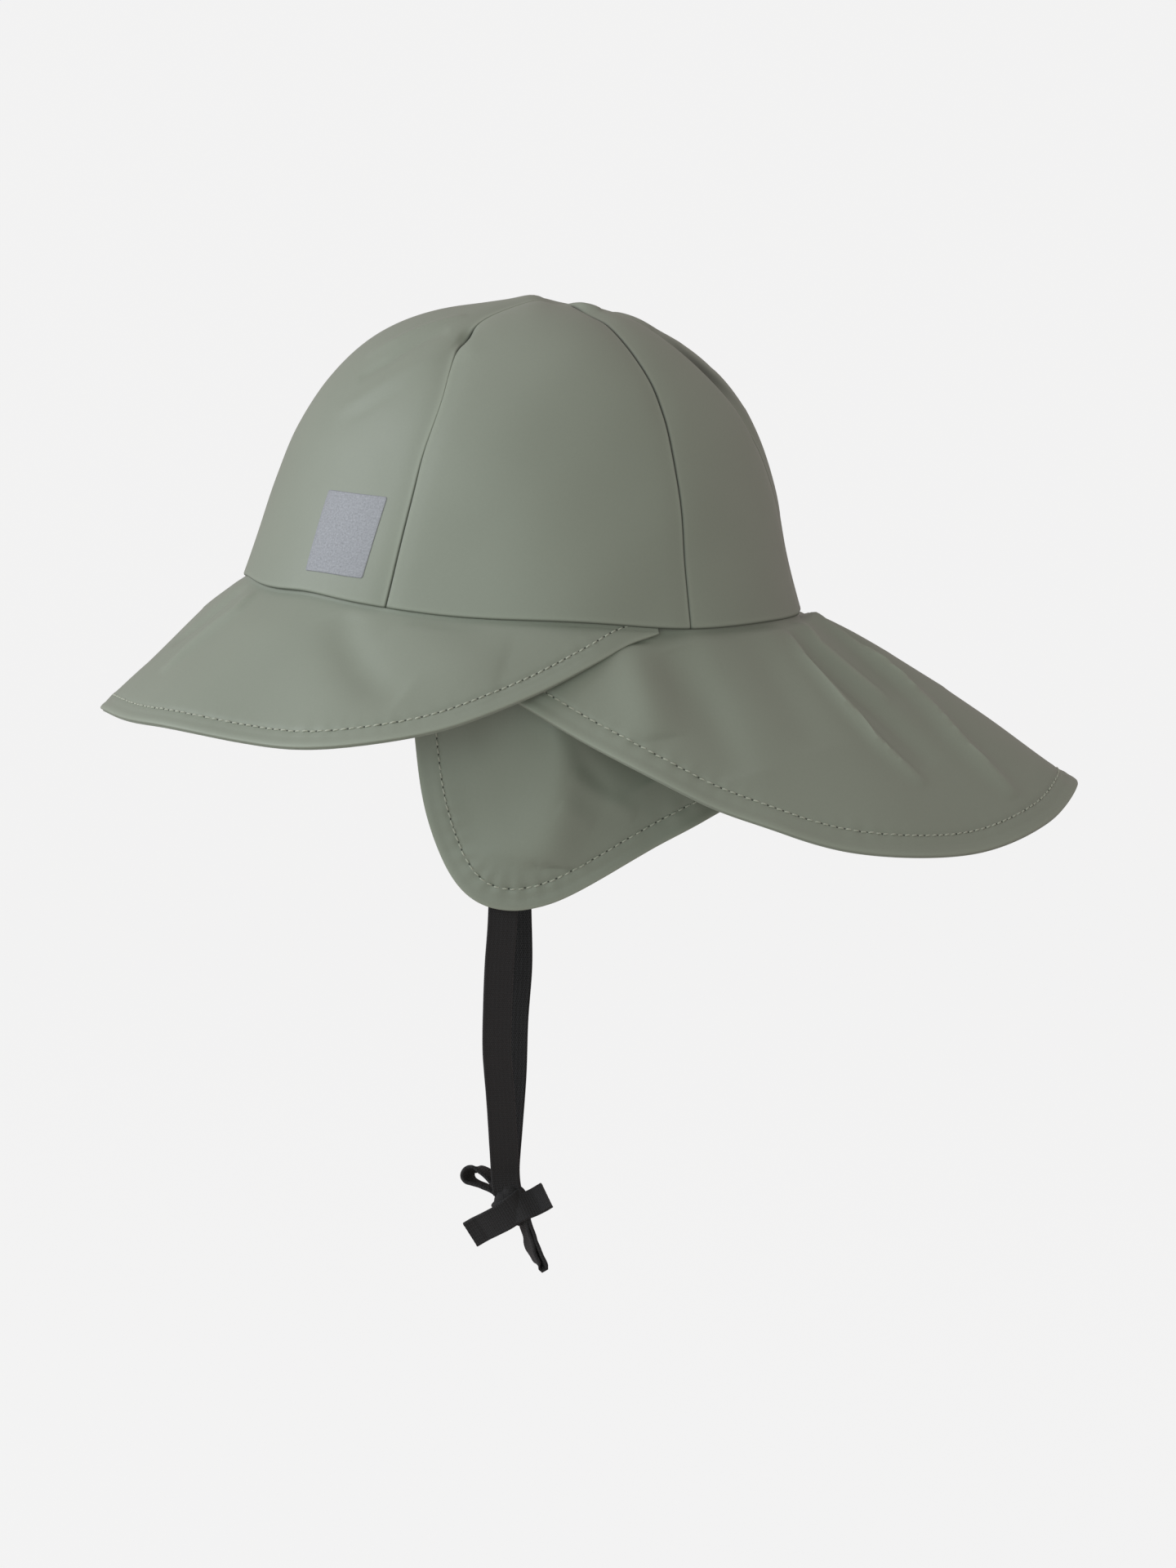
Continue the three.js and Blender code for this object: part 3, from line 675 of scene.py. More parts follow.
def makeCrownPanel(panel):
    # Rows lie closer at the lower edge, and columns closer at the seams
    make = crownMake
    spread = np.linspace(0, 1, panel["columns"] + 1)
    share = spread - make["crowding"] * np.sin(2 * np.pi * spread) / (2 * np.pi)
    rows = np.linspace(make["rowsFrom"], make["tip"], make["rows"])
    climb = np.concatenate([make["hemRows"], rows])[:, None]
    start, end = panelEdges(panel, climb)
    inset = make["seamInset"] / perDegree(start, climb)
    turn = start + inset + (end - start - 2 * inset) * share
    climb = climb + 0 * turn
    outer, seamDistance = panelFace(panel, turn, climb)
    fromHem = climb * make["climbLength"]
    # Lighter near the seams, by wear and painted highlight, and near the lower edge by wear
    edge = np.maximum(bell(seamDistance, make["seamWearAndHighlight"]), bell(fromHem, make["hemWear"]))
    # Painted shade: dark lines along the seams and under the lower edge, and on the back right panel the
    # strip beyond the nape seam
    crease = sum(show * bell(gap, make["seamShadeReach"]) for gap, show in zip(*seamCreases(panel, turn, climb)))
    crease = crease + make["hemShade"] * bell(fromHem, make["hemShadeReach"])
    if panel["name"] == "crown_back_right":
        crease = crease + napeStrip(panel, turn, climb)
    crease = np.clip(crease, 0, 1)
    inner = outer - crownNormal(turn, climb) * make["cloth"]
    return shellPiece(panel["name"] + "_cloth", outer, inner, coatedCloth, {"edge": edge, "crease": crease})


for k, panel in enumerate(crownPanels):
    piece = finishPiece(makeCrownPanel(panel), "coated_cloth", panel["name"])
print("crown made")


# Flaps: each is a wall of two layers of cloth, turned and stitched along its free edge. Near the crown
# it hangs under the crown's lower edge and runs up inside. Lengths and slopes are by degrees from the
# front, and droop is how far a flap steepens from its seam to its edge, in degrees.
peakSections = table(
    ("away", "length", "slope"),
    (0, 0.0673, 37.7), (15, 0.0663, 36.6), (30, 0.0637, 37.1), (45, 0.0607, 42.8), (60, 0.0566, 43.6),
    (75, 0.0455, 45.6), (90, 0.0298, 48.8), (105, 0.0130, 50.5), (112, 0.0054, 52), (119, 0.0006, 53.5),
)
neckSections = table(
    ("away", "length", "slope"),
    (63, 0.0008, 64), (75, 0.0111, 58.7), (90, 0.0273, 59.3), (100, 0.0392, 57.7), (110, 0.0517, 54.5),
    (125, 0.0707, 51.5), (140, 0.0904, 47.3), (155, 0.105, 40.2), (168, 0.1119, 32.7), (180, 0.113, 26.8),
)
earSections = table(
    ("away", "length", "slope"),
    (90, 0.0994, 92), (97, 0.0967, 92), (104, 0.0913, 92), (120, 0.0749, 91),
    (134, 0.0642, 89), (150, 0.0555, 86), (165, 0.051, 84), (180, 0.049, 83),
)

flapMake = {
    "cloth": 0.0016,  # both layers together
    "tuck": 0.006,  # how far a flap runs up inside the crown
    "tuckRows": 5,
    "bendRows": 5,
    "bendDrop": 0.0003,
    "layerGap": 0.0005,
    "rim": 0.00115,  # half the thickness at the free edge, where the layers are folded in
    "rimReach": (0.0015, 0.0042),
    "shortest": 0.004,  # a flap shorter than this has a narrower rim
    "hemComesIn": (0.006, 0.02),  # lengths of a flap between which its hem grows to the full thickness
    "hemBeyond": 0.0045,  # how far the close rows go on beyond the stitches
    "hemShare": 0.75,  # the most of a flap's length that they take
    "press": 0.0004,  # how far the stitches pull a face in
    "pressReach": 0.0011,
    "pressWave": (0.0093, 2, 0.0171),  # pitch, how much it wanders, and over what reach, as in the next waves
    "pucker": 0.00017,
    "puckerReach": 0.0042,
    "puckerSize": (2 * math.pi * 0.013, 1.3, 0.029),
    "puckerWave": (0.0071, 1.7, 0.0113),
    "edgeWear": 0.0013,  # how far from the free edge the cloth is rubbed lighter
    "wavesComeIn": (0.003, 0.02),  # distances from the seam between which the waves grow
    "foldsComeIn": (0.0, 0.006),
    "hemStep": 0.0005,
    "step": 0.0014,
}


def neckHug(away):
    # How far a flap's middle lies in from the crown's inner face: the neck flap runs under the peak
    first = flapMake["layerGap"] + flapMake["cloth"] / 2
    return first + (flapMake["cloth"] + flapMake["layerGap"]) * (1 - smoothStep(away, 119, 131))


def sectionsOf(sections, name):
    # The values level out at the middle of the front and of the back, where the two sides meet
    def at(away):
        toFront, toBack = away, 180 - away
        away = away - toFront * np.exp(-((toFront / 6) ** 2)) + toBack * np.exp(-((toBack / 6) ** 2))
        return smoothCurve(sections["away"], sections[name], away)

    return at


flaps = {
    "peak": {
        "length": sectionsOf(peakSections, "length"), "slope": sectionsOf(peakSections, "slope"), "droop": 9,
        "hug": lambda away: flapMake["layerGap"] + flapMake["cloth"] / 2 + 0 * away,
        "from": -119, "to": 119, "columns": 280, "stitch": 0.0065,
        "swells": [(0, 16, 0.0004)], "swellsComeIn": (0.0012, 0.006),
        # Where a fold has a crest highlight number, its crest is painted lighter by that much: painted
        # highlight
        "folds": [
            {"line": [(22, 0.01), (23, 0.18), (20.5, 0.38), (19.5, 0.51), (19, 0.68)],
             "width": 0.0026, "height": 0.0017, "crestHighlight": 0.5},
            {"line": [(15, 0.02), (14.5, 0.18), (13, 0.38), (12, 0.52)], "width": 0.0036, "height": -0.0014},
            {"line": [(2, 0.30), (0, 0.6), (-2, 0.92)], "width": 0.015, "height": -0.0012},
            {"line": [(52.5, 0.06), (56.5, 0.24), (60.5, 0.40), (65, 0.55), (70, 0.66)],
             "width": 0.0072, "height": -0.0019},
            {"line": [(66, 0.06), (73, 0.24), (80, 0.40), (87, 0.55)], "width": 0.012, "height": 0.0011},
            {"line": [(-38, 0.05), (-42, 0.35), (-47, 0.75)], "width": 0.008, "height": -0.0014},
            {"line": [(-70, 0.08), (-77, 0.4), (-84, 0.7)], "width": 0.008, "height": 0.0012},
        ],
        "waves": [((1.0, 0.5, 0.2), 0.061, 1.0, 0.00035), ((-0.4, 1.0, 0.3), 0.043, 2.6, 0.00022)],
    },
    "neck_flap": {
        "length": sectionsOf(neckSections, "length"), "slope": sectionsOf(neckSections, "slope"), "droop": 8,
        "hug": neckHug,
        "from": 63, "to": 297, "columns": 330, "stitch": 0.008,
        "drawnTip": {"away": 177, "spread": 6, "wave": (0.0034, 0.8, 0.0031), "height": 0.00022,
                     "reach": 0.0036},
        "swells": [(150, 6, 0.0014), (164, 5, 0.0018), (180, 9, 0.0040)], "swellsComeIn": (0.0004, 0.0038),
        # Where a fold has a crest highlight number, its crest is painted lighter by that much: painted
        # highlight
        "folds": [
            {"line": [(181, 0.02), (176, 0.09), (173.3, 0.20), (172, 0.32), (171, 0.43)],
             "width": 0.0026, "height": 0.0016, "crestHighlight": 0.9},
            {"line": [(184, 0.02), (180.5, 0.05), (177, 0.10), (175.5, 0.17), (175.5, 0.26)],
             "width": 0.0022, "height": -0.0012},
            {"line": [(173.5, 0.22), (171, 0.43), (168, 0.61), (166.8, 0.88)],
             "width": 0.0044, "height": 0.0022, "crestHighlight": 0.7},
            {"line": [(176, 0.30), (176, 0.55), (176, 0.85)], "width": 0.009, "height": -0.0010},
            {"line": [(166, 0.02), (162, 0.12), (163, 0.31), (163.5, 0.40)],
             "width": 0.0026, "height": 0.0013, "crestHighlight": 0.8},
            {"line": [(159.5, 0.04), (157.5, 0.16), (159.5, 0.42), (160, 0.66)],
             "width": 0.005, "height": -0.0019},
            {"line": [(155, 0.03), (152.7, 0.16), (153, 0.40), (153.7, 0.54), (156, 0.72)],
             "width": 0.0032, "height": 0.0019, "crestHighlight": 0.9},
            {"line": [(146, 0.05), (143, 0.25), (142, 0.55)], "width": 0.010, "height": -0.0012},
            {"line": [(122, 0.08), (125, 0.35), (127, 0.75)], "width": 0.009, "height": -0.0022},
            {"line": [(112, 0.08), (112.5, 0.30), (114, 0.7)], "width": 0.009, "height": 0.0030},
            {"line": [(173.3, 0.20), (172, 0.32), (171, 0.43)], "width": 0.0013, "height": 0.0007},
            {"line": [(171, 0.43), (168, 0.61), (166.8, 0.88)], "width": 0.0016, "height": 0.0008},
            {"line": [(154.5, 0.05), (152.7, 0.16), (153, 0.40), (153.7, 0.54), (156, 0.72)],
             "width": 0.0014, "height": 0.0008},
            {"line": [(182, 0.50), (181, 0.75), (180, 0.95)], "width": 0.016, "height": -0.0007},
            {"line": [(192, 0.02), (195, 0.14), (198, 0.4), (200, 0.7)], "width": 0.005, "height": 0.0009},
            {"line": [(203, 0.03), (207, 0.2), (208, 0.5)], "width": 0.006, "height": -0.0013},
            {"line": [(211, 0.04), (214, 0.25), (213, 0.65)], "width": 0.004, "height": 0.0014},
            {"line": [(236, 0.08), (233, 0.35), (230, 0.8)], "width": 0.010, "height": -0.0014},
        ],
        "waves": [((1.0, 0.2, 0.4), 0.083, 0.3, 0.0006), ((-0.3, 1.0, 0.5), 0.057, 1.9, 0.00035),
                  ((0.7, 0.6, -1.0), 0.041, 4.4, 0.00018)],
    },
    "ear_flap": {
        "slope": sectionsOf(earSections, "slope"), "droop": 5, "droopOver": 0.101,
        "hug": lambda away: neckHug(away) + flapMake["cloth"] + flapMake["layerGap"],
        "front": 66.3, "lobe": 90, "drop": 0.0994, "squareness": 2.92, "napeGap": 0.15, "stitch": 0.0076,
        "folds": [
            {"line": [(98, 0.06), (99, 0.42), (96, 0.84)], "width": 0.0105, "height": 0.0062},
            {"line": [(78, 0.14), (78, 0.5), (81, 0.8)], "width": 0.007, "height": -0.0012},
            {"line": [(98, 0.30), (104, 0.48), (110, 0.60)], "width": 0.0035, "height": -0.0010},
            {"line": [(101, 0.50), (108, 0.58), (116, 0.64)], "width": 0.0028, "height": 0.0010},
            {"line": [(111, 0.10), (115, 0.34), (121, 0.50)], "width": 0.010, "height": -0.0028},
            {"line": [(98, 0.62), (106, 0.68)], "width": 0.003, "height": 0.0006},
        ],
        "waves": [((0.2, 1.0, 0.7), 0.052, 2.0, 0.0005), ((0.1, -0.7, 1.0), 0.034, 0.6, 0.00028)],
    },
}


def flapPoint(flap, turn, fall, bend=1.0, up=0.0):
    # A flap's middle: up above the crown's edge and inside it, then round the bend, then down by fall
    turn, fall, bend, up = np.broadcast_arrays(np.asarray(turn, float), fall, bend, up)
    away = awayFromFront(turn)
    wall = crownNormal(turn, 0.0)
    lean = np.arcsin(wall[..., 2])
    radius = crownMake["cloth"] + flap["hug"](away)
    slope = np.radians(flap["slope"](away))
    angle = lean + (np.maximum(lean, np.pi / 2 - slope) - lean) * bend
    out = -radius * np.cos(angle) - up * np.sin(lean)
    down = radius * np.sin(angle) - up * np.cos(lean) + flapMake["bendDrop"] * bend
    rate = np.radians(flap["droop"]) / (flap["droopOver"] if "droopOver" in flap else flap["length"](away))
    out = out + (np.sin(slope + rate * fall) - np.sin(slope)) / rate
    down = down + (np.cos(slope) - np.cos(slope + rate * fall)) / rate
    point = crownPoint(turn, 0.0) + unit(wall * (1, 1, 0)) * out[..., None]
    point[..., 2] -= down
    return point


def flapLift(flap, turn, fall, points):
    # Soft swellings that run out from the seam, single folds, and the cloth's gentle unevenness
    away = awayFromFront(turn)
    lift = np.zeros(turn.shape)
    if "swells" in flap:
        share = fall / flap["length"](away)
        swell = sum(height * bell(away - place, spread) for place, spread, height in flap["swells"])
        lift += swell * smoothStep(fall, *flap["swellsComeIn"]) * (1 - share)
    lift += smoothStep(fall, *flapMake["wavesComeIn"]) * ripple(points, flap["waves"])
    folds = foldHeights(points, flap["folds"], flapPlace(flap))
    return lift + smoothStep(fall, *flapMake["foldsComeIn"]) * folds


def flapPlace(flap):
    # Turns the (turn, share of the fall) of a fold's line into places
    if "drop" in flap:
        return lambda turn, share: flapPoint(flap, turn, share * flap["drop"])
    return lambda turn, share: flapPoint(flap, turn, share * flap["length"](awayFromFront(turn)))


def foldCrestHighlight(flap, points):
    # Painted highlight: sharp folds are made a little lighter along their crests, where light catches them
    lightened = [dict(fold, height=fold["crestHighlight"], width=0.45 * fold["width"])
            for fold in flap["folds"] if "crestHighlight" in fold]
    return foldHeights(points, lightened, flapPlace(flap))


# The free edge in section, as steps in from the edge and up from the middle: the upper layer's rounded
# edge and the groove under it, both as shares of the rim's half thickness
rimTurn = np.radians([90, 62, 38, 14, -10, -34, -60])
rimSection = np.stack([0.5 - 0.5 * np.cos(rimTurn), 0.5 + 0.5 * np.sin(rimTurn)], axis=-1)


def unevenWave(run, pitch, wander, wanderReach):
    # A wave along the free edge, whose pitch wanders a little
    return np.sin(2 * np.pi * run / pitch + wander * np.sin(run / wanderReach))


def hemThickness(distance, run, full, stitch):
    # Half the wall's thickness by distance from the free edge: more at the edge, less at the stitches
    make = flapMake
    toRim = 1 - smoothStep(distance, *make["rimReach"])
    half = make["cloth"] / 2 + full * (make["rim"] - make["cloth"] / 2) * toRim
    drawn = 0.75 + 0.25 * unevenWave(run, *make["pressWave"])
    return half - full * make["press"] * drawn * bell(distance - stitch, make["pressReach"])


def hemPucker(flap, turn, distance, run):
    # Small wrinkles across the stitches, uneven in size along the edge, and finer ones at a drawn-in tip
    make = flapMake
    size = 0.55 + 0.45 * unevenWave(run, *make["puckerSize"])
    wave = unevenWave(run, *make["puckerWave"])
    pucker = make["pucker"] * size * wave * bell(distance - flap["stitch"], make["puckerReach"])
    if "drawnTip" in flap:
        tip = flap["drawnTip"]
        across = bell(distance - flap["stitch"] * 0.62, tip["reach"])
        along = bell(awayFromFront(turn) - tip["away"], tip["spread"])
        pucker = pucker + tip["height"] * unevenWave(run, *tip["wave"]) * along * across
    return pucker


def flapShell(name, flap, grid, mirror=False):
    # Both faces are set off from one middle surface, whose rows run from the tucked edge down to the rim.
    # Returns the piece and the places of its two lines of stitches.
    rows, rimRows = grid["rows"], grid["rim"]
    middle = flapPoint(flap, *rows)
    rimMiddle = flapPoint(flap, *rimRows)
    normals = -gridNormals(middle)
    edge = flapPoint(flap, *grid["edge"])
    full = smoothStep(grid["length"], *flapMake["hemComesIn"])
    distance, share = nearestOnLine(middle, edge)
    run = share * lengthOf(np.diff(edge, axis=0)).sum()
    half = hemThickness(distance, run, full, flap["stitch"])
    bump = flapLift(flap, rows[0], rows[1], middle) + full * hemPucker(flap, rows[0], distance, run)
    rimBump = flapLift(flap, rimRows[0], rimRows[1], rimMiddle)
    rimBump += bump[-1] - rimBump[:1]
    faces = []
    for side in (1, -1):
        wall = middle + normals * (bump + side * half)[..., None]
        rim = rimMiddle + normals[-1] * (rimBump + side * rimSection[:, 1:] * half[-1])[..., None]
        faces.append(np.concatenate([wall, rim[1:]])[::-1])
    # Lighter near the free edge by wear, and along fold crests by painted highlight
    lightened = bell(distance, flapMake["edgeWear"]) + foldCrestHighlight(flap, middle)
    marks = {"edge": np.concatenate([lightened, np.ones_like(rimMiddle[1:, :, 0])])[::-1]}
    stitches = [stitchLine(face[::-1][: len(middle)], side * normals, distance, flap["stitch"])
                for side, face in zip((1, -1), faces)]
    outer, inner = faces
    if mirror:
        outer, inner = (face[:, ::-1] * (-1, 1, 1) for face in faces)
        marks["edge"] = marks["edge"][:, ::-1]
        stitches = [tuple(array * (-1, 1, 1) for array in line) for line in stitches]
    return shellPiece(name, outer, inner, coatedCloth, marks), stitches


def stitchLine(points, normals, distance, stitch):
    # Where each column of the grid crosses the line at one distance from the free edge
    inside = distance > stitch
    last = len(distance) - 1 - inside[::-1].argmax(axis=0)
    columns = np.where(inside.any(axis=0) & (last < len(distance) - 1))[0]
    last = last[columns]
    before, after = distance[last, columns], distance[last + 1, columns]
    part = ((before - stitch) / np.maximum(before - after, 1e-9))[:, None]
    places = points[last, columns] * (1 - part) + points[last + 1, columns] * part
    facing = unit(normals[last, columns] * (1 - part) + normals[last + 1, columns] * part)
    return places, facing


def spacedShares(size, step):
    # Evenly spread shares from 0 to 1, about a step apart over a span of the given size
    return np.linspace(0, 1, max(3, int(np.ceil(size / step)) + 1))


def fallRows(flap, length, slant=1.0, bodyRows=None):
    # The rows' distances from the seam: evenly spread down to the hem, closer in the hem, then the rim's
    make = flapMake
    rimScale = slant * np.minimum(1, length / make["shortest"]) * make["rim"]
    rimTop = length - rimSection[0, 0] * rimScale
    hem = np.minimum((flap["stitch"] + make["hemBeyond"]) * slant, make["hemShare"] * rimTop)
    body = np.linspace(0, 1, bodyRows) if bodyRows else spacedShares((length - hem).max(), make["step"])
    hemRows = spacedShares(flap["stitch"] + make["hemBeyond"], make["hemStep"])[1:, None]
    fall = np.concatenate([body[:, None] * (rimTop - hem), rimTop - hem + hem * hemRows])
    return fall, length - rimSection[:, :1] * rimScale


def brimGrid(flap):
    # Columns run straight out from the crown; the rows near the edge keep their distance from it
    turn = np.linspace(flap["from"], flap["to"], flap["columns"])
    length = flap["length"](awayFromFront(turn))
    edge = flapPoint(flap, turn, length)
    run = unit(np.gradient(edge, axis=0))
    outwards = unit(edge - flapPoint(flap, turn, length - 0.0004))
    slant = 1 / np.clip(lengthOf(np.cross(run, outwards)), 0.4, 1)
    fall, rimFall = fallRows(flap, length, slant)
    return finishGrid(turn + 0 * fall, fall, turn + 0 * rimFall, rimFall, turn, length, length)


def finishGrid(turn, fall, rimTurns, rimFall, edgeTurn, edgeFall, lengths):
    # Adds the rows above the crown's edge: up inside it, and round the bend
    up = np.linspace(flapMake["tuck"], 0, flapMake["tuckRows"])
    bend = np.linspace(0, 1, flapMake["bendRows"] + 2)[1:-1]
    above = len(up) + len(bend)
    turns = np.concatenate([np.repeat(turn[:1], above, axis=0), turn])
    falls = np.concatenate([np.zeros((above, turn.shape[1])), fall])
    ups = np.concatenate([up, np.zeros(len(bend) + len(fall))])[:, None]
    bends = np.concatenate([0 * up, bend, np.ones(len(fall))])[:, None]
    rows = np.broadcast_arrays(turns, falls, bends, ups)
    return {"rows": rows, "rim": (rimTurns, rimFall), "edge": (edgeTurn, edgeFall), "length": lengths}


earMake = {
    "samples": 240,
    "edgeStart": 0.0015,
    "edgeStep": 0.0012,
    "smoothing": 8,  # neighbours to either side that each place on the free edge is averaged with
    "upright": (0.03, 0.002),  # distances from the nape between which the columns turn upright
    "pull": 0.4,  # how far a column runs squarely from its ends, as a share of its span
    "bodyRows": 46,
}

# Where a column that starts at a share of the free edge ends along the seam
earSeam = table(("edge", "seam"), (0, 0), (0.3, 0.22), (0.5, 0.41), (1, 1))


def earEdge(flap, turns, across):
    # The free edge on the flat cloth: a squarish quarter oval at the front, then up to the nape
    angle = np.radians(np.linspace(0, 90, earMake["samples"]))
    power = 2 / flap["squareness"]
    corner = flap["lobe"] - (flap["lobe"] - flap["front"]) * np.cos(angle) ** power
    rear = np.linspace(flap["lobe"] + 0.5, turns[-1], earMake["samples"])
    rearDrop = smoothCurve(earSections["away"], earSections["length"], rear)
    edge = np.stack([np.interp(np.concatenate([corner, rear]), turns, across),
                     np.concatenate([flap["drop"] * np.sin(angle) ** power, rearDrop])], axis=-1)
    edge = evenly(edge, earMake["edgeStep"], start=earMake["edgeStart"])
    reach = earMake["smoothing"]
    weights = bell(np.arange(-reach, reach + 1), reach / 2)
    padded = np.pad(edge, ((reach, reach), (0, 0)), mode="reflect", reflect_type="odd")
    return np.stack([np.convolve(padded[:, k], weights / weights.sum(), "valid") for k in (0, 1)], axis=-1)


def earGrid(flap):
    # Laid out on the flat cloth: across is the run round the crown's edge from the flap's front, and down
    # the fall below it. Each column leaves the free edge squarely and bends up to the seam.
    turns = np.linspace(flap["front"], 180 - flap["napeGap"], 600)
    across = arcLength(crownPoint(turns, 0.0), 0)
    edge = earEdge(flap, turns, across)
    run = arcLength(edge, 0)
    tangent = unit(np.gradient(edge, axis=0))
    inwards = np.stack([tangent[:, 1], -tangent[:, 0]], axis=-1)
    turning, turned = earMake["upright"]
    upright = smoothStep(run, run[-1] - turning, run[-1] - turned)[:, None]
    inwards = unit(inwards * (1 - upright) + np.array([0.0, -1.0]) * upright)
    seam = np.zeros_like(edge)
    seam[:, 0] = smoothCurve(earSeam["edge"], earSeam["seam"], run / run[-1]) * across[-1]
    reach = earMake["pull"] * lengthOf(edge - seam)[:, None]
    along = np.linspace(0, 1, 80)[:, None, None]
    first, second = seam + np.array([0, 1]) * reach, edge + inwards * reach
    path = ((1 - along) ** 3 * seam + 3 * (1 - along) ** 2 * along * first
            + 3 * (1 - along) * along**2 * second + along**3 * edge)
    travelled = arcLength(path, 0)
    length = travelled[-1]

    def at(distances):
        # Places on every column at these distances from the seam
        result = np.empty(distances.shape + (2,))
        for column, wanted in enumerate(distances.T):
            for k in (0, 1):
                result[:, column, k] = np.interp(wanted, travelled[:, column], path[:, column, k])
        return np.interp(result[..., 0], across, turns), result[..., 1]

    body, rim = fallRows(flap, length, bodyRows=earMake["bodyRows"])
    edgeTurn = np.interp(edge[:, 0], across, turns)
    return finishGrid(*at(body), *at(rim), edgeTurn, edge[:, 1], length)


def evenly(line, step, start=0.0):
    # Points along a line at an even spacing
    run = arcLength(line, 0)
    at = np.linspace(start, run[-1], int(round((run[-1] - start) / step)) + 1)
    return np.stack([np.interp(at, run, line[:, k]) for k in range(line.shape[1])], axis=-1)


# Stitches: thread that rises between two needle holes, on both faces of a flap
stitchMake = {
    "pitch": 0.0028,
    "length": 0.0022,
    "radius": 0.00034,
    "slant": 0.10,  # how far each stitch turns out of the line
    "arch": 0.55,  # rise of its middle, in radii
    "sink": 0.15,
    "sides": 6,
    "hole": 0.00033,
    "holeLength": 1.25,
    "holeLift": 0.00004,
}

# A stitch's thickness by place along it, as shares of its radius and of half its length
threadSwell = table(("place", "girth"), (-1, 0.15), (-0.82, 0.7), (-0.45, 0.97), (0, 1), (0.45, 0.97),
                    (0.82, 0.7), (1, 0.15))


def ringPoints(centre, firstWay, secondWay, ring):
    # A ring of points round each centre: cosine times the first way and sine times the second
    first = firstWay[..., None, :] * np.cos(ring)[:, None]
    second = secondWay[..., None, :] * np.sin(ring)[:, None]
    return centre[..., None, :] + first + second


def makeStitches(name, lines):
    # Each stitch is a thin tube along an arched spine, and a flat dark disc of painted shade stands for the
    # needle hole between two stitches
    make, place, sides = stitchMake, threadSwell["place"], stitchMake["sides"]
    ring = np.linspace(0, 2 * np.pi, sides + 1)[:-1]
    corner = np.arange(len(place) * sides).reshape(len(place), sides)
    ahead = np.roll(corner, -1, axis=1)
    tube = np.stack([corner[:-1], corner[1:], ahead[1:], ahead[:-1]], axis=-1).reshape(-1, 4)
    ends = np.stack([corner[0], corner[-1][::-1]])
    points, faces, material = [], [], []
    total = 0
    for places, facing in lines:
        run = arcLength(places, 0)
        at = np.arange(make["pitch"] / 2, run[-1], make["pitch"])
        centre = np.stack([np.interp(at, run, places[:, k]) for k in range(3)], axis=-1)
        up = unit(np.stack([np.interp(at, run, facing[:, k]) for k in range(3)], axis=-1))
        along = unit(np.gradient(centre, axis=0))
        tilted = unit(along + make["slant"] * np.cross(up, along))
        beside = np.cross(up, tilted)
        rise = make["radius"] * (make["arch"] * (1 - place**2) - make["sink"])
        spine = (centre[:, None] + tilted[:, None] * (place * make["length"] / 2)[:, None]
                 + up[:, None] * rise[:, None])
        girth = make["radius"] * threadSwell["girth"][:, None]
        points.append(ringPoints(spine, beside[:, None] * girth, up[:, None] * girth, ring).reshape(-1, 3))
        starts = total + np.arange(len(centre))[:, None, None] * corner.size
        faces += (starts + tube).reshape(-1, 4).tolist() + (starts + ends).reshape(-1, sides).tolist()
        total += len(centre) * corner.size
        middles = (centre[:-1] + centre[1:]) / 2 + up[:-1] * make["holeLift"]
        holeLong = make["hole"] * make["holeLength"] * along[:-1]
        points.append(ringPoints(middles, holeLong, make["hole"] * beside[:-1], ring).reshape(-1, 3))
        faces += (total + np.arange(len(middles) * sides)).reshape(-1, sides).tolist()
        total += len(middles) * sides
        material += [0] * (len(centre) * (len(tube) + len(ends))) + [1] * len(middles)
    piece = addMesh(name, np.concatenate(points), faces, threads, sharpAngle=80)
    piece.data.polygons.foreach_set("material_index", np.array(material, np.int32))
    return piece


sewn = {name: flapShell(name + "_cloth", flaps[name], brimGrid(flaps[name]))
        for name in ("peak", "neck_flap")}
for name in ("ear_flap_left", "ear_flap_right"):
    sewn[name] = flapShell(name + "_cloth", flaps["ear_flap"], earGrid(flaps["ear_flap"]),
                           mirror=name.endswith("right"))
for name, (piece, lines) in sewn.items():
    finishPiece(piece, "coated_cloth", name)
    stitches = finishPiece(makeStitches(name + "_stitches", lines), "coated_cloth")
print("flaps made")


# Patch: a thin sheet with rounded corners that follows the front panel
patchMake = {
    # Corners in (turn, climb): lower front, lower rear, upper front, upper rear
    "corners": [(40.4, 0.050), (56.2, 0.058), (40.4, 0.246), (58.4, 0.242)],
    "size": (0.025, 0.0277),
    "thickness": 0.00024,
    "lift": 0.00002,
    "rounding": 0.0009,  # radius of its corners
    "edgeRoll": 0.0003,
    "edgeWear": 0.0008,
    "edgeSteps": (0, 0.00008, 0.0002, 0.0004, 0.0007, 0.0011),
    "rowsFrom": 0.0018,
    "rows": 26,
}


def patchPlaces(make):
    # Places on the sheet, as shares of half its width and height, closer together at its edges, and the
    # distance of each to the nearest edge
    steps, inset = np.array(make["edgeSteps"]), make["rowsFrom"]
    halfX, halfY = make["size"][0] / 2, make["size"][1] / 2
    lines = [np.concatenate([steps - half, np.linspace(inset - half, half - inset, make["rows"]),
                             (half - steps)[::-1]]) for half in (halfX, halfY)]
    x, y = np.meshgrid(*lines)
    fromEdge = np.minimum(halfX - abs(x), halfY - abs(y))
    # A corner's square is drawn in to a quarter disc
    pastX = np.maximum(abs(x) - (halfX - make["rounding"]), 0)
    pastY = np.maximum(abs(y) - (halfY - make["rounding"]), 0)
    longest = np.maximum(pastX, pastY) / np.maximum(np.hypot(pastX, pastY), 1e-9)
    draw = np.where((pastX > 0) & (pastY > 0), longest, 1)
    x = np.sign(x) * (abs(x) - pastX * (1 - draw))
    y = np.sign(y) * (abs(y) - pastY * (1 - draw))
    return x / halfX, y / halfY, fromEdge


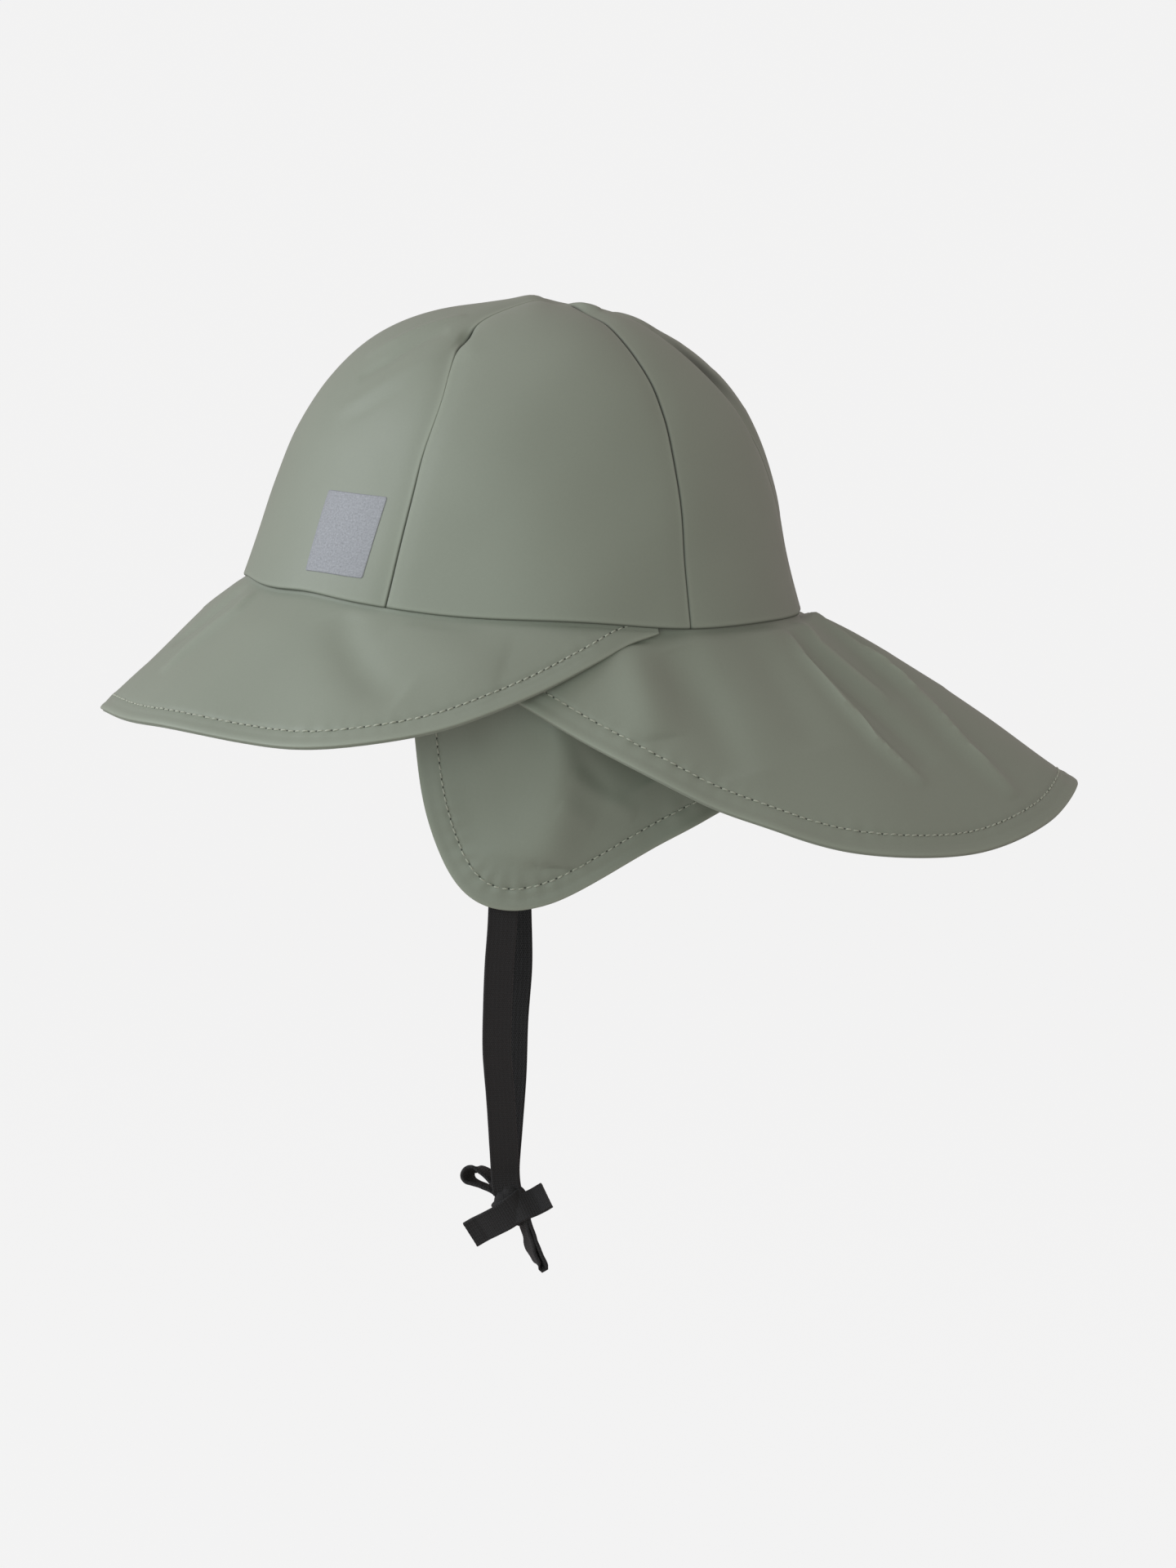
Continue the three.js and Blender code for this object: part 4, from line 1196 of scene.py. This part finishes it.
def makePatch(make):
    # Turn and climb are shares of the four corners
    x, y, fromEdge = patchPlaces(make)
    across, rise = (0.5 + x / 2)[..., None], (0.5 + y / 2)[..., None]
    lowFront, lowRear, highFront, highRear = np.array(make["corners"])
    low = (1 - across) * lowFront + across * lowRear
    high = (1 - across) * highFront + across * highRear
    place = (1 - rise) * low + rise * high
    turn, climb = place[..., 0], place[..., 1]
    face, _ = panelFace(crownPanels[0], turn, climb)
    normal = crownNormal(turn, climb)
    top = make["lift"] + make["thickness"] - rolled(fromEdge, make["edgeRoll"])
    bottom = np.minimum(make["lift"], top) - make["lift"]
    outer, inner = face + normal * top[..., None], face + normal * bottom[..., None]
    return shellPiece("reflective_patch_film", outer, inner, reflectiveCloth,
                      {"edge": bell(fromEdge, make["edgeWear"])})


patch = finishPiece(makePatch(patchMake), "reflective_cloth", "reflective_patch")
print("patch made")


# Chin ties and bow, all of one woven tape. Routes are the middles of the tapes.
tapeMake = {
    "width": 0.010,
    "thickness": 0.0011,
    "step": 0.0008,
    "side": 0.0005,  # how far in from its sides the tape is rounded
    "selvage": 0.00012,
    "selvageAt": 0.0007,
    "ribs": 0.00005,
    "ribCount": 7,
    "ribsComeIn": (0.0005, 0.0012),
    "hemThickness": 0.7,
    "sways": [(0.00012, 0.0037, 0), (0.00009, 0.0016, 1.2)],  # height, reach and phase of its unevenness
}

tieRoute = [  # metres out from the middle plane, y of the left tape, y of the right tape, z
    (0.0666, -0.0062, -0.0031, -0.086), (0.0653, -0.0061, -0.0032, -0.098),
    (0.0624, -0.0065, -0.0031, -0.108), (0.0552, -0.0076, -0.0026, -0.122),
    (0.0452, -0.0084, -0.0023, -0.1385), (0.0342, -0.0088, -0.0036, -0.156),
    (0.0224, -0.0078, -0.0042, -0.1745), (0.0106, -0.0070, -0.0056, -0.193),
    (0.0034, -0.0066, -0.0064, -0.2036), (0.0013, -0.0064, -0.0062, -0.2086),
    (0.0009, -0.0058, -0.0056, -0.2125),
]

# Each route in millimetres, the directions of the tape's width along it, and the length in metres of the
# end that is turned back and sewn
bowTapes = {
    "bow_loop_front": {
        "route": [(-3.4, -5.6, -214.4), (-4.2, -9.1, -210.4), (-4.9, -12, -207.4), (-5.4, -14.6, -205.4),
                  (-5.8, -16.8, -204.5), (-6, -18.8, -205.2), (-6.1, -19.7, -207.2), (-6, -18.9, -208.9),
                  (-5.7, -17.1, -210), (-5.2, -13.9, -211.1), (-4.4, -9.4, -212.8), (-3.4, -5.8, -216)],
        "broad": [(0.85, -0.48, 0.20)], "hem": 0.0},
    "bow_loop_rear": {
        "route": [(1, -0.4, -219.8), (1.2, 0.4, -225), (1.6, 1.8, -229), (1.8, 2.5, -232.9),
                  (1.8, 3.9, -235.8), (1.8, 5.3, -237.9), (1.8, 6.3, -238), (1.8, 6.2, -236.4),
                  (1.8, 5.2, -233.9), (1.7, 4, -231), (1.5, 2.9, -228.6), (1.2, 1.9, -225),
                  (1, 0.6, -219.8)],
        "broad": [(0.95, 0.28, -0.12), (0.92, 0.35, -0.16), (0.90, 0.38, -0.2), (0.92, 0.35, -0.16),
                  (0.95, 0.28, -0.12)], "hem": 0.0},
    "tie_end_front": {
        "route": [(4.6, -3.0, -217.6), (5.4, -7.2, -220.2), (4.6, -11.5, -222.6), (3.2, -15.2, -224.8),
                  (2.6, -18.8, -227.0)],
        "broad": [(0.15, 0.55, -0.82), (0, 0.6, -0.8), (0, 0.645, -0.765)], "hem": 0.0042},
    "tie_end_rear": {
        "route": [(4.4, -5.0, -218.6), (4.7, -1.0, -216.8), (3.6, 2.6, -215.6), (2.9, 5.5, -214.3),
                  (3.2, 8.2, -212.7)],
        "broad": [(0.3, 0.5, -0.8), (0.4, 0.5, -0.76), (0.45, 0.52, -0.727)], "hem": 0.0032},
}

knotMake = {
    "middle": (0, -0.0044, -0.2172),
    "half": (0.0042, 0.0062, 0.0078),
    "pole": 88,  # degrees up to the last ring of the core
    "bulge": 0.85,  # below 1, the core is boxier than an egg
    "creaseDepth": 0.10,
    "bandHalf": (0.0048, 0.0053),
    "bandLean": 33,
    "bandWidth": 0.0086,
}


def smoothRoute(points, step):
    # A smooth line through the points, with its own evenly spaced points
    points = np.array(points, float)
    run = np.concatenate([[0], np.cumsum(lengthOf(np.diff(points, axis=0)))])
    at = np.linspace(0, run[-1], 400)
    dense = np.stack([smoothCurve(run, points[:, k], at) for k in range(3)], axis=-1)
    return evenly(dense, step)


def tapeSection(make):
    # Half a tape's outline: across it, and the height there, with thicker selvages and faint lengthwise ribs
    side = np.array([0.465, 0.485, 0.497, 0.5])
    across = np.concatenate([-side[::-1], np.linspace(-0.44, 0.44, 23), side])
    fromSide = (0.5 - abs(across)) * make["width"]
    inwards = np.minimum(fromSide / make["side"], 1)
    height = make["thickness"] / 2 * np.sqrt(np.clip(1 - (1 - inwards) ** 2, 0, 1))
    height += make["selvage"] * bell(fromSide - make["selvageAt"], make["side"])
    ribs = np.cos(2 * np.pi * across * make["ribCount"])
    height += make["ribs"] * ribs * smoothStep(fromSide, *make["ribsComeIn"])
    return across * make["width"], height


def makeTape(name, line, broad, hem=0.0, width=1.0, closed=False):
    # A flat tape along a line, its width laid in the broad directions, thicker over the hem at its end
    make = tapeMake
    across, height = tapeSection(make)
    tangent = unit(np.gradient(line, axis=0))
    if closed:
        tangent = unit(np.roll(line, -1, axis=0) - np.roll(line, 1, axis=0))
    share = np.linspace(0, 1, len(line))
    given = np.array(broad, float)
    wide = np.stack([np.interp(share, np.linspace(0, 1, len(given)), given[:, k]) for k in range(3)], axis=-1)
    wide = unit(wide - tangent * (wide * tangent).sum(-1)[:, None])
    face = np.cross(tangent, wide)
    run = arcLength(line, 0)
    thick = 1 + 0 * run
    if hem:
        thick += make["hemThickness"] * smoothStep(run, run[-1] - hem - 0.0004, run[-1] - hem)
    sway = 0 * run
    if not closed:
        sway = sum(rise * np.sin(run / reach + phase) for rise, reach, phase in make["sways"])
    top, bottom = np.stack([across, height], axis=-1), np.stack([across, -height], axis=-1)
    profile = np.concatenate([top, bottom[-2:0:-1]])
    points = (line[:, None] + wide[:, None] * (profile[:, 0] * width)[None, :, None]
              + face[:, None] * (profile[:, 1] * thick[:, None] + sway[:, None])[..., None])
    count, sides = points.shape[:2]
    corner = np.arange(count * sides).reshape(count, sides)
    around = np.concatenate([corner, corner[:, :1]], axis=1)
    if closed:
        around = np.concatenate([around, around[:1]])
    quads = gridQuads(around).tolist()
    if not closed:
        # The cut ends are closed with strips between the two faces, three-cornered at the sides
        k = np.arange(sides // 2)
        strips = np.stack([k, k + 1, (sides - k - 1) % sides, (sides - k) % sides], axis=-1)
        last = strips[:, ::-1] + (count - 1) * sides
        quads += [list(dict.fromkeys(strip)) for strip in strips.tolist() + last.tolist()]
    uv = np.stack([np.broadcast_to(profile[:, 0], (count, sides)),
                   np.broadcast_to(run[:, None], (count, sides))], axis=-1)
    return addMesh(name, points, quads, wovenTape, uv, sharpAngle=50)


def makeKnot(make):
    # The core of the knot: a rounded body, drawn in along the creases where the tape passes over itself
    rises = np.radians(make["pole"]) * np.linspace(-1, 1, 34)
    lift, way = np.meshgrid(rises, np.linspace(0, 2 * np.pi, 49)[:-1], indexing="ij")
    spread = abs(np.cos(lift)) ** 0.8
    body = np.stack([np.cos(way), np.sin(way), np.sin(lift)], axis=-1)
    body = np.sign(body) * abs(body) ** make["bulge"]
    body[..., :2] *= spread[..., None]
    crease = bell(body[..., 1] * 0.54 + body[..., 2] * 0.84 - 0.35, 0.12) + bell(body[..., 1] - 0.3, 0.13)
    drawnIn = (1 - make["creaseDepth"] * crease)[..., None]
    points = np.array(make["middle"]) + body * np.array(make["half"]) * drawnIn
    corner = np.arange(points.shape[0] * points.shape[1]).reshape(points.shape[:2])
    around = np.concatenate([corner, corner[:, :1]], axis=1)
    quads = gridQuads(around).tolist() + [corner[0][::-1].tolist(), corner[-1].tolist()]
    uv = np.stack([way * make["half"][1], lift * make["half"][2]], axis=-1)
    return addMesh("bow_knot_core", points, quads, wovenTape, uv, sharpAngle=60)


def makeKnotBand(make):
    # The tape that goes once round the knot, slanting up to the rear, a little narrower than it lies flat
    lean = math.radians(make["bandLean"])
    outwards = np.array([1.0, 0, 0]) * make["bandHalf"][0]
    along = np.array([0, math.cos(lean), math.sin(lean)]) * make["bandHalf"][1]
    wide = (0, math.sin(lean), -math.cos(lean))
    way = np.linspace(0, 2 * np.pi, 61)[:-1, None]
    line = np.array(make["middle"]) + outwards * np.cos(way) + along * np.sin(way)
    return makeTape("bow_knot_band", line, [wide], width=make["bandWidth"] / tapeMake["width"], closed=True)


def addTape(name, line, broad, hem=0.0):
    return finishPiece(makeTape(name + "_tape", line, broad, hem), "black_tape", name)


tieLines = {
    "tie_left": smoothRoute([(out, left, z) for out, left, _, z in tieRoute], tapeMake["step"]),
    "tie_right": smoothRoute([(-out, right, z) for out, _, right, z in tieRoute], tapeMake["step"]),
}
ties = {"tie_left": addTape("tie_left", tieLines["tie_left"], [(0, 1, 0)]),
        "tie_right": addTape("tie_right", tieLines["tie_right"], [(0, -1, 0)])}
bowPieces = [addTape(name, smoothRoute(np.array(bow["route"]) / 1000, 0.0005), bow["broad"], bow["hem"])
             for name, bow in bowTapes.items()]
knotPieces = [finishPiece(makeKnot(knotMake), "black_tape", "bow_knot"),
              finishPiece(makeKnotBand(knotMake), "black_tape")]
print("ties and bow made")


# Floor, backdrop and lights
stageLook = {
    "floorHeight": -0.45,
    "halfWidth": 8.0,
    "front": 5.0,  # how far the paper reaches towards the camera
    "bendAt": -2.2,  # where it starts to bend up behind the hat
    "bendRadius": 1.2,
    "height": 8.0,
    "tone": (0.05, 0.05, 0.05, 1),
    "glow": 0.86,  # the even pale tone of paper lit from all around
}


def makeStage(look):
    # One sheet: level under the hat, then curving up behind it
    bend = np.radians(np.linspace(0, 90, 25))
    radius, bendAt = look["bendRadius"], look["bendAt"]
    curve = np.stack([bendAt - radius * np.sin(bend), radius * (1 - np.cos(bend))], axis=-1)
    profile = np.concatenate([[[look["front"], 0.0]], curve, [[bendAt - radius, look["height"]]]])
    points = np.zeros((len(profile), 2, 3))
    points[..., 0] = profile[:, :1]
    points[..., 1] = np.array([-1, 1]) * look["halfWidth"]
    points[..., 2] = profile[:, 1:] + look["floorHeight"]
    corner = np.arange(len(profile) * 2).reshape(-1, 2)
    material, _, shader = startMaterial("paper_backdrop")
    shader.inputs["Base Color"].default_value = look["tone"]
    shader.inputs["Roughness"].default_value = 1.0
    shader.inputs["Specular IOR Level"].default_value = 0.0
    shader.inputs["Emission Color"].default_value = (1, 1, 1, 1)
    shader.inputs["Emission Strength"].default_value = look["glow"]
    backdrop = addMesh("backdrop", points, gridQuads(corner)[:, ::-1].tolist(), material, sharpAngle=180)
    backdrop.visible_diffuse = backdrop.visible_glossy = False  # pale to the camera, but it lights nothing


lights = [  # name, place, size, power and colour; each points at the hat
    {"name": "key", "at": (0.5, -2.3, 0.85), "size": 1.8, "power": 41, "colour": (0.90, 0.93, 1.0)},
    {"name": "top", "at": (0.5, -0.3, 2.5), "size": 1.8, "power": 6, "colour": (1.0, 0.95, 1.0)},
    {"name": "side", "at": (2.4, -0.65, 0.3), "size": 1.8, "power": 18.5, "colour": (0.84, 1.0, 0.95)},
]
roomLight = {"colour": (1.0, 0.88, 0.86, 1), "strength": 0.49}


def makeLights():
    for light in lights:
        data = bpy.data.lights.new(light["name"], "AREA")
        data.energy, data.size, data.color = light["power"], light["size"], light["colour"]
        lamp = bpy.data.objects.new(light["name"], data)
        lamp.location = light["at"]
        lamp.rotation_euler = (-Vector(light["at"])).to_track_quat("-Z", "Y").to_euler()
        bpy.context.scene.collection.objects.link(lamp)
    world = bpy.data.worlds.new("studio")
    world.use_nodes = True
    world.node_tree.nodes["Background"].inputs["Color"].default_value = roomLight["colour"]
    world.node_tree.nodes["Background"].inputs["Strength"].default_value = roomLight["strength"]
    bpy.context.scene.world = world
    bpy.context.scene.view_settings.view_transform = "Standard"


makeStage(stageLook)
makeLights()
print("stage and lights made")
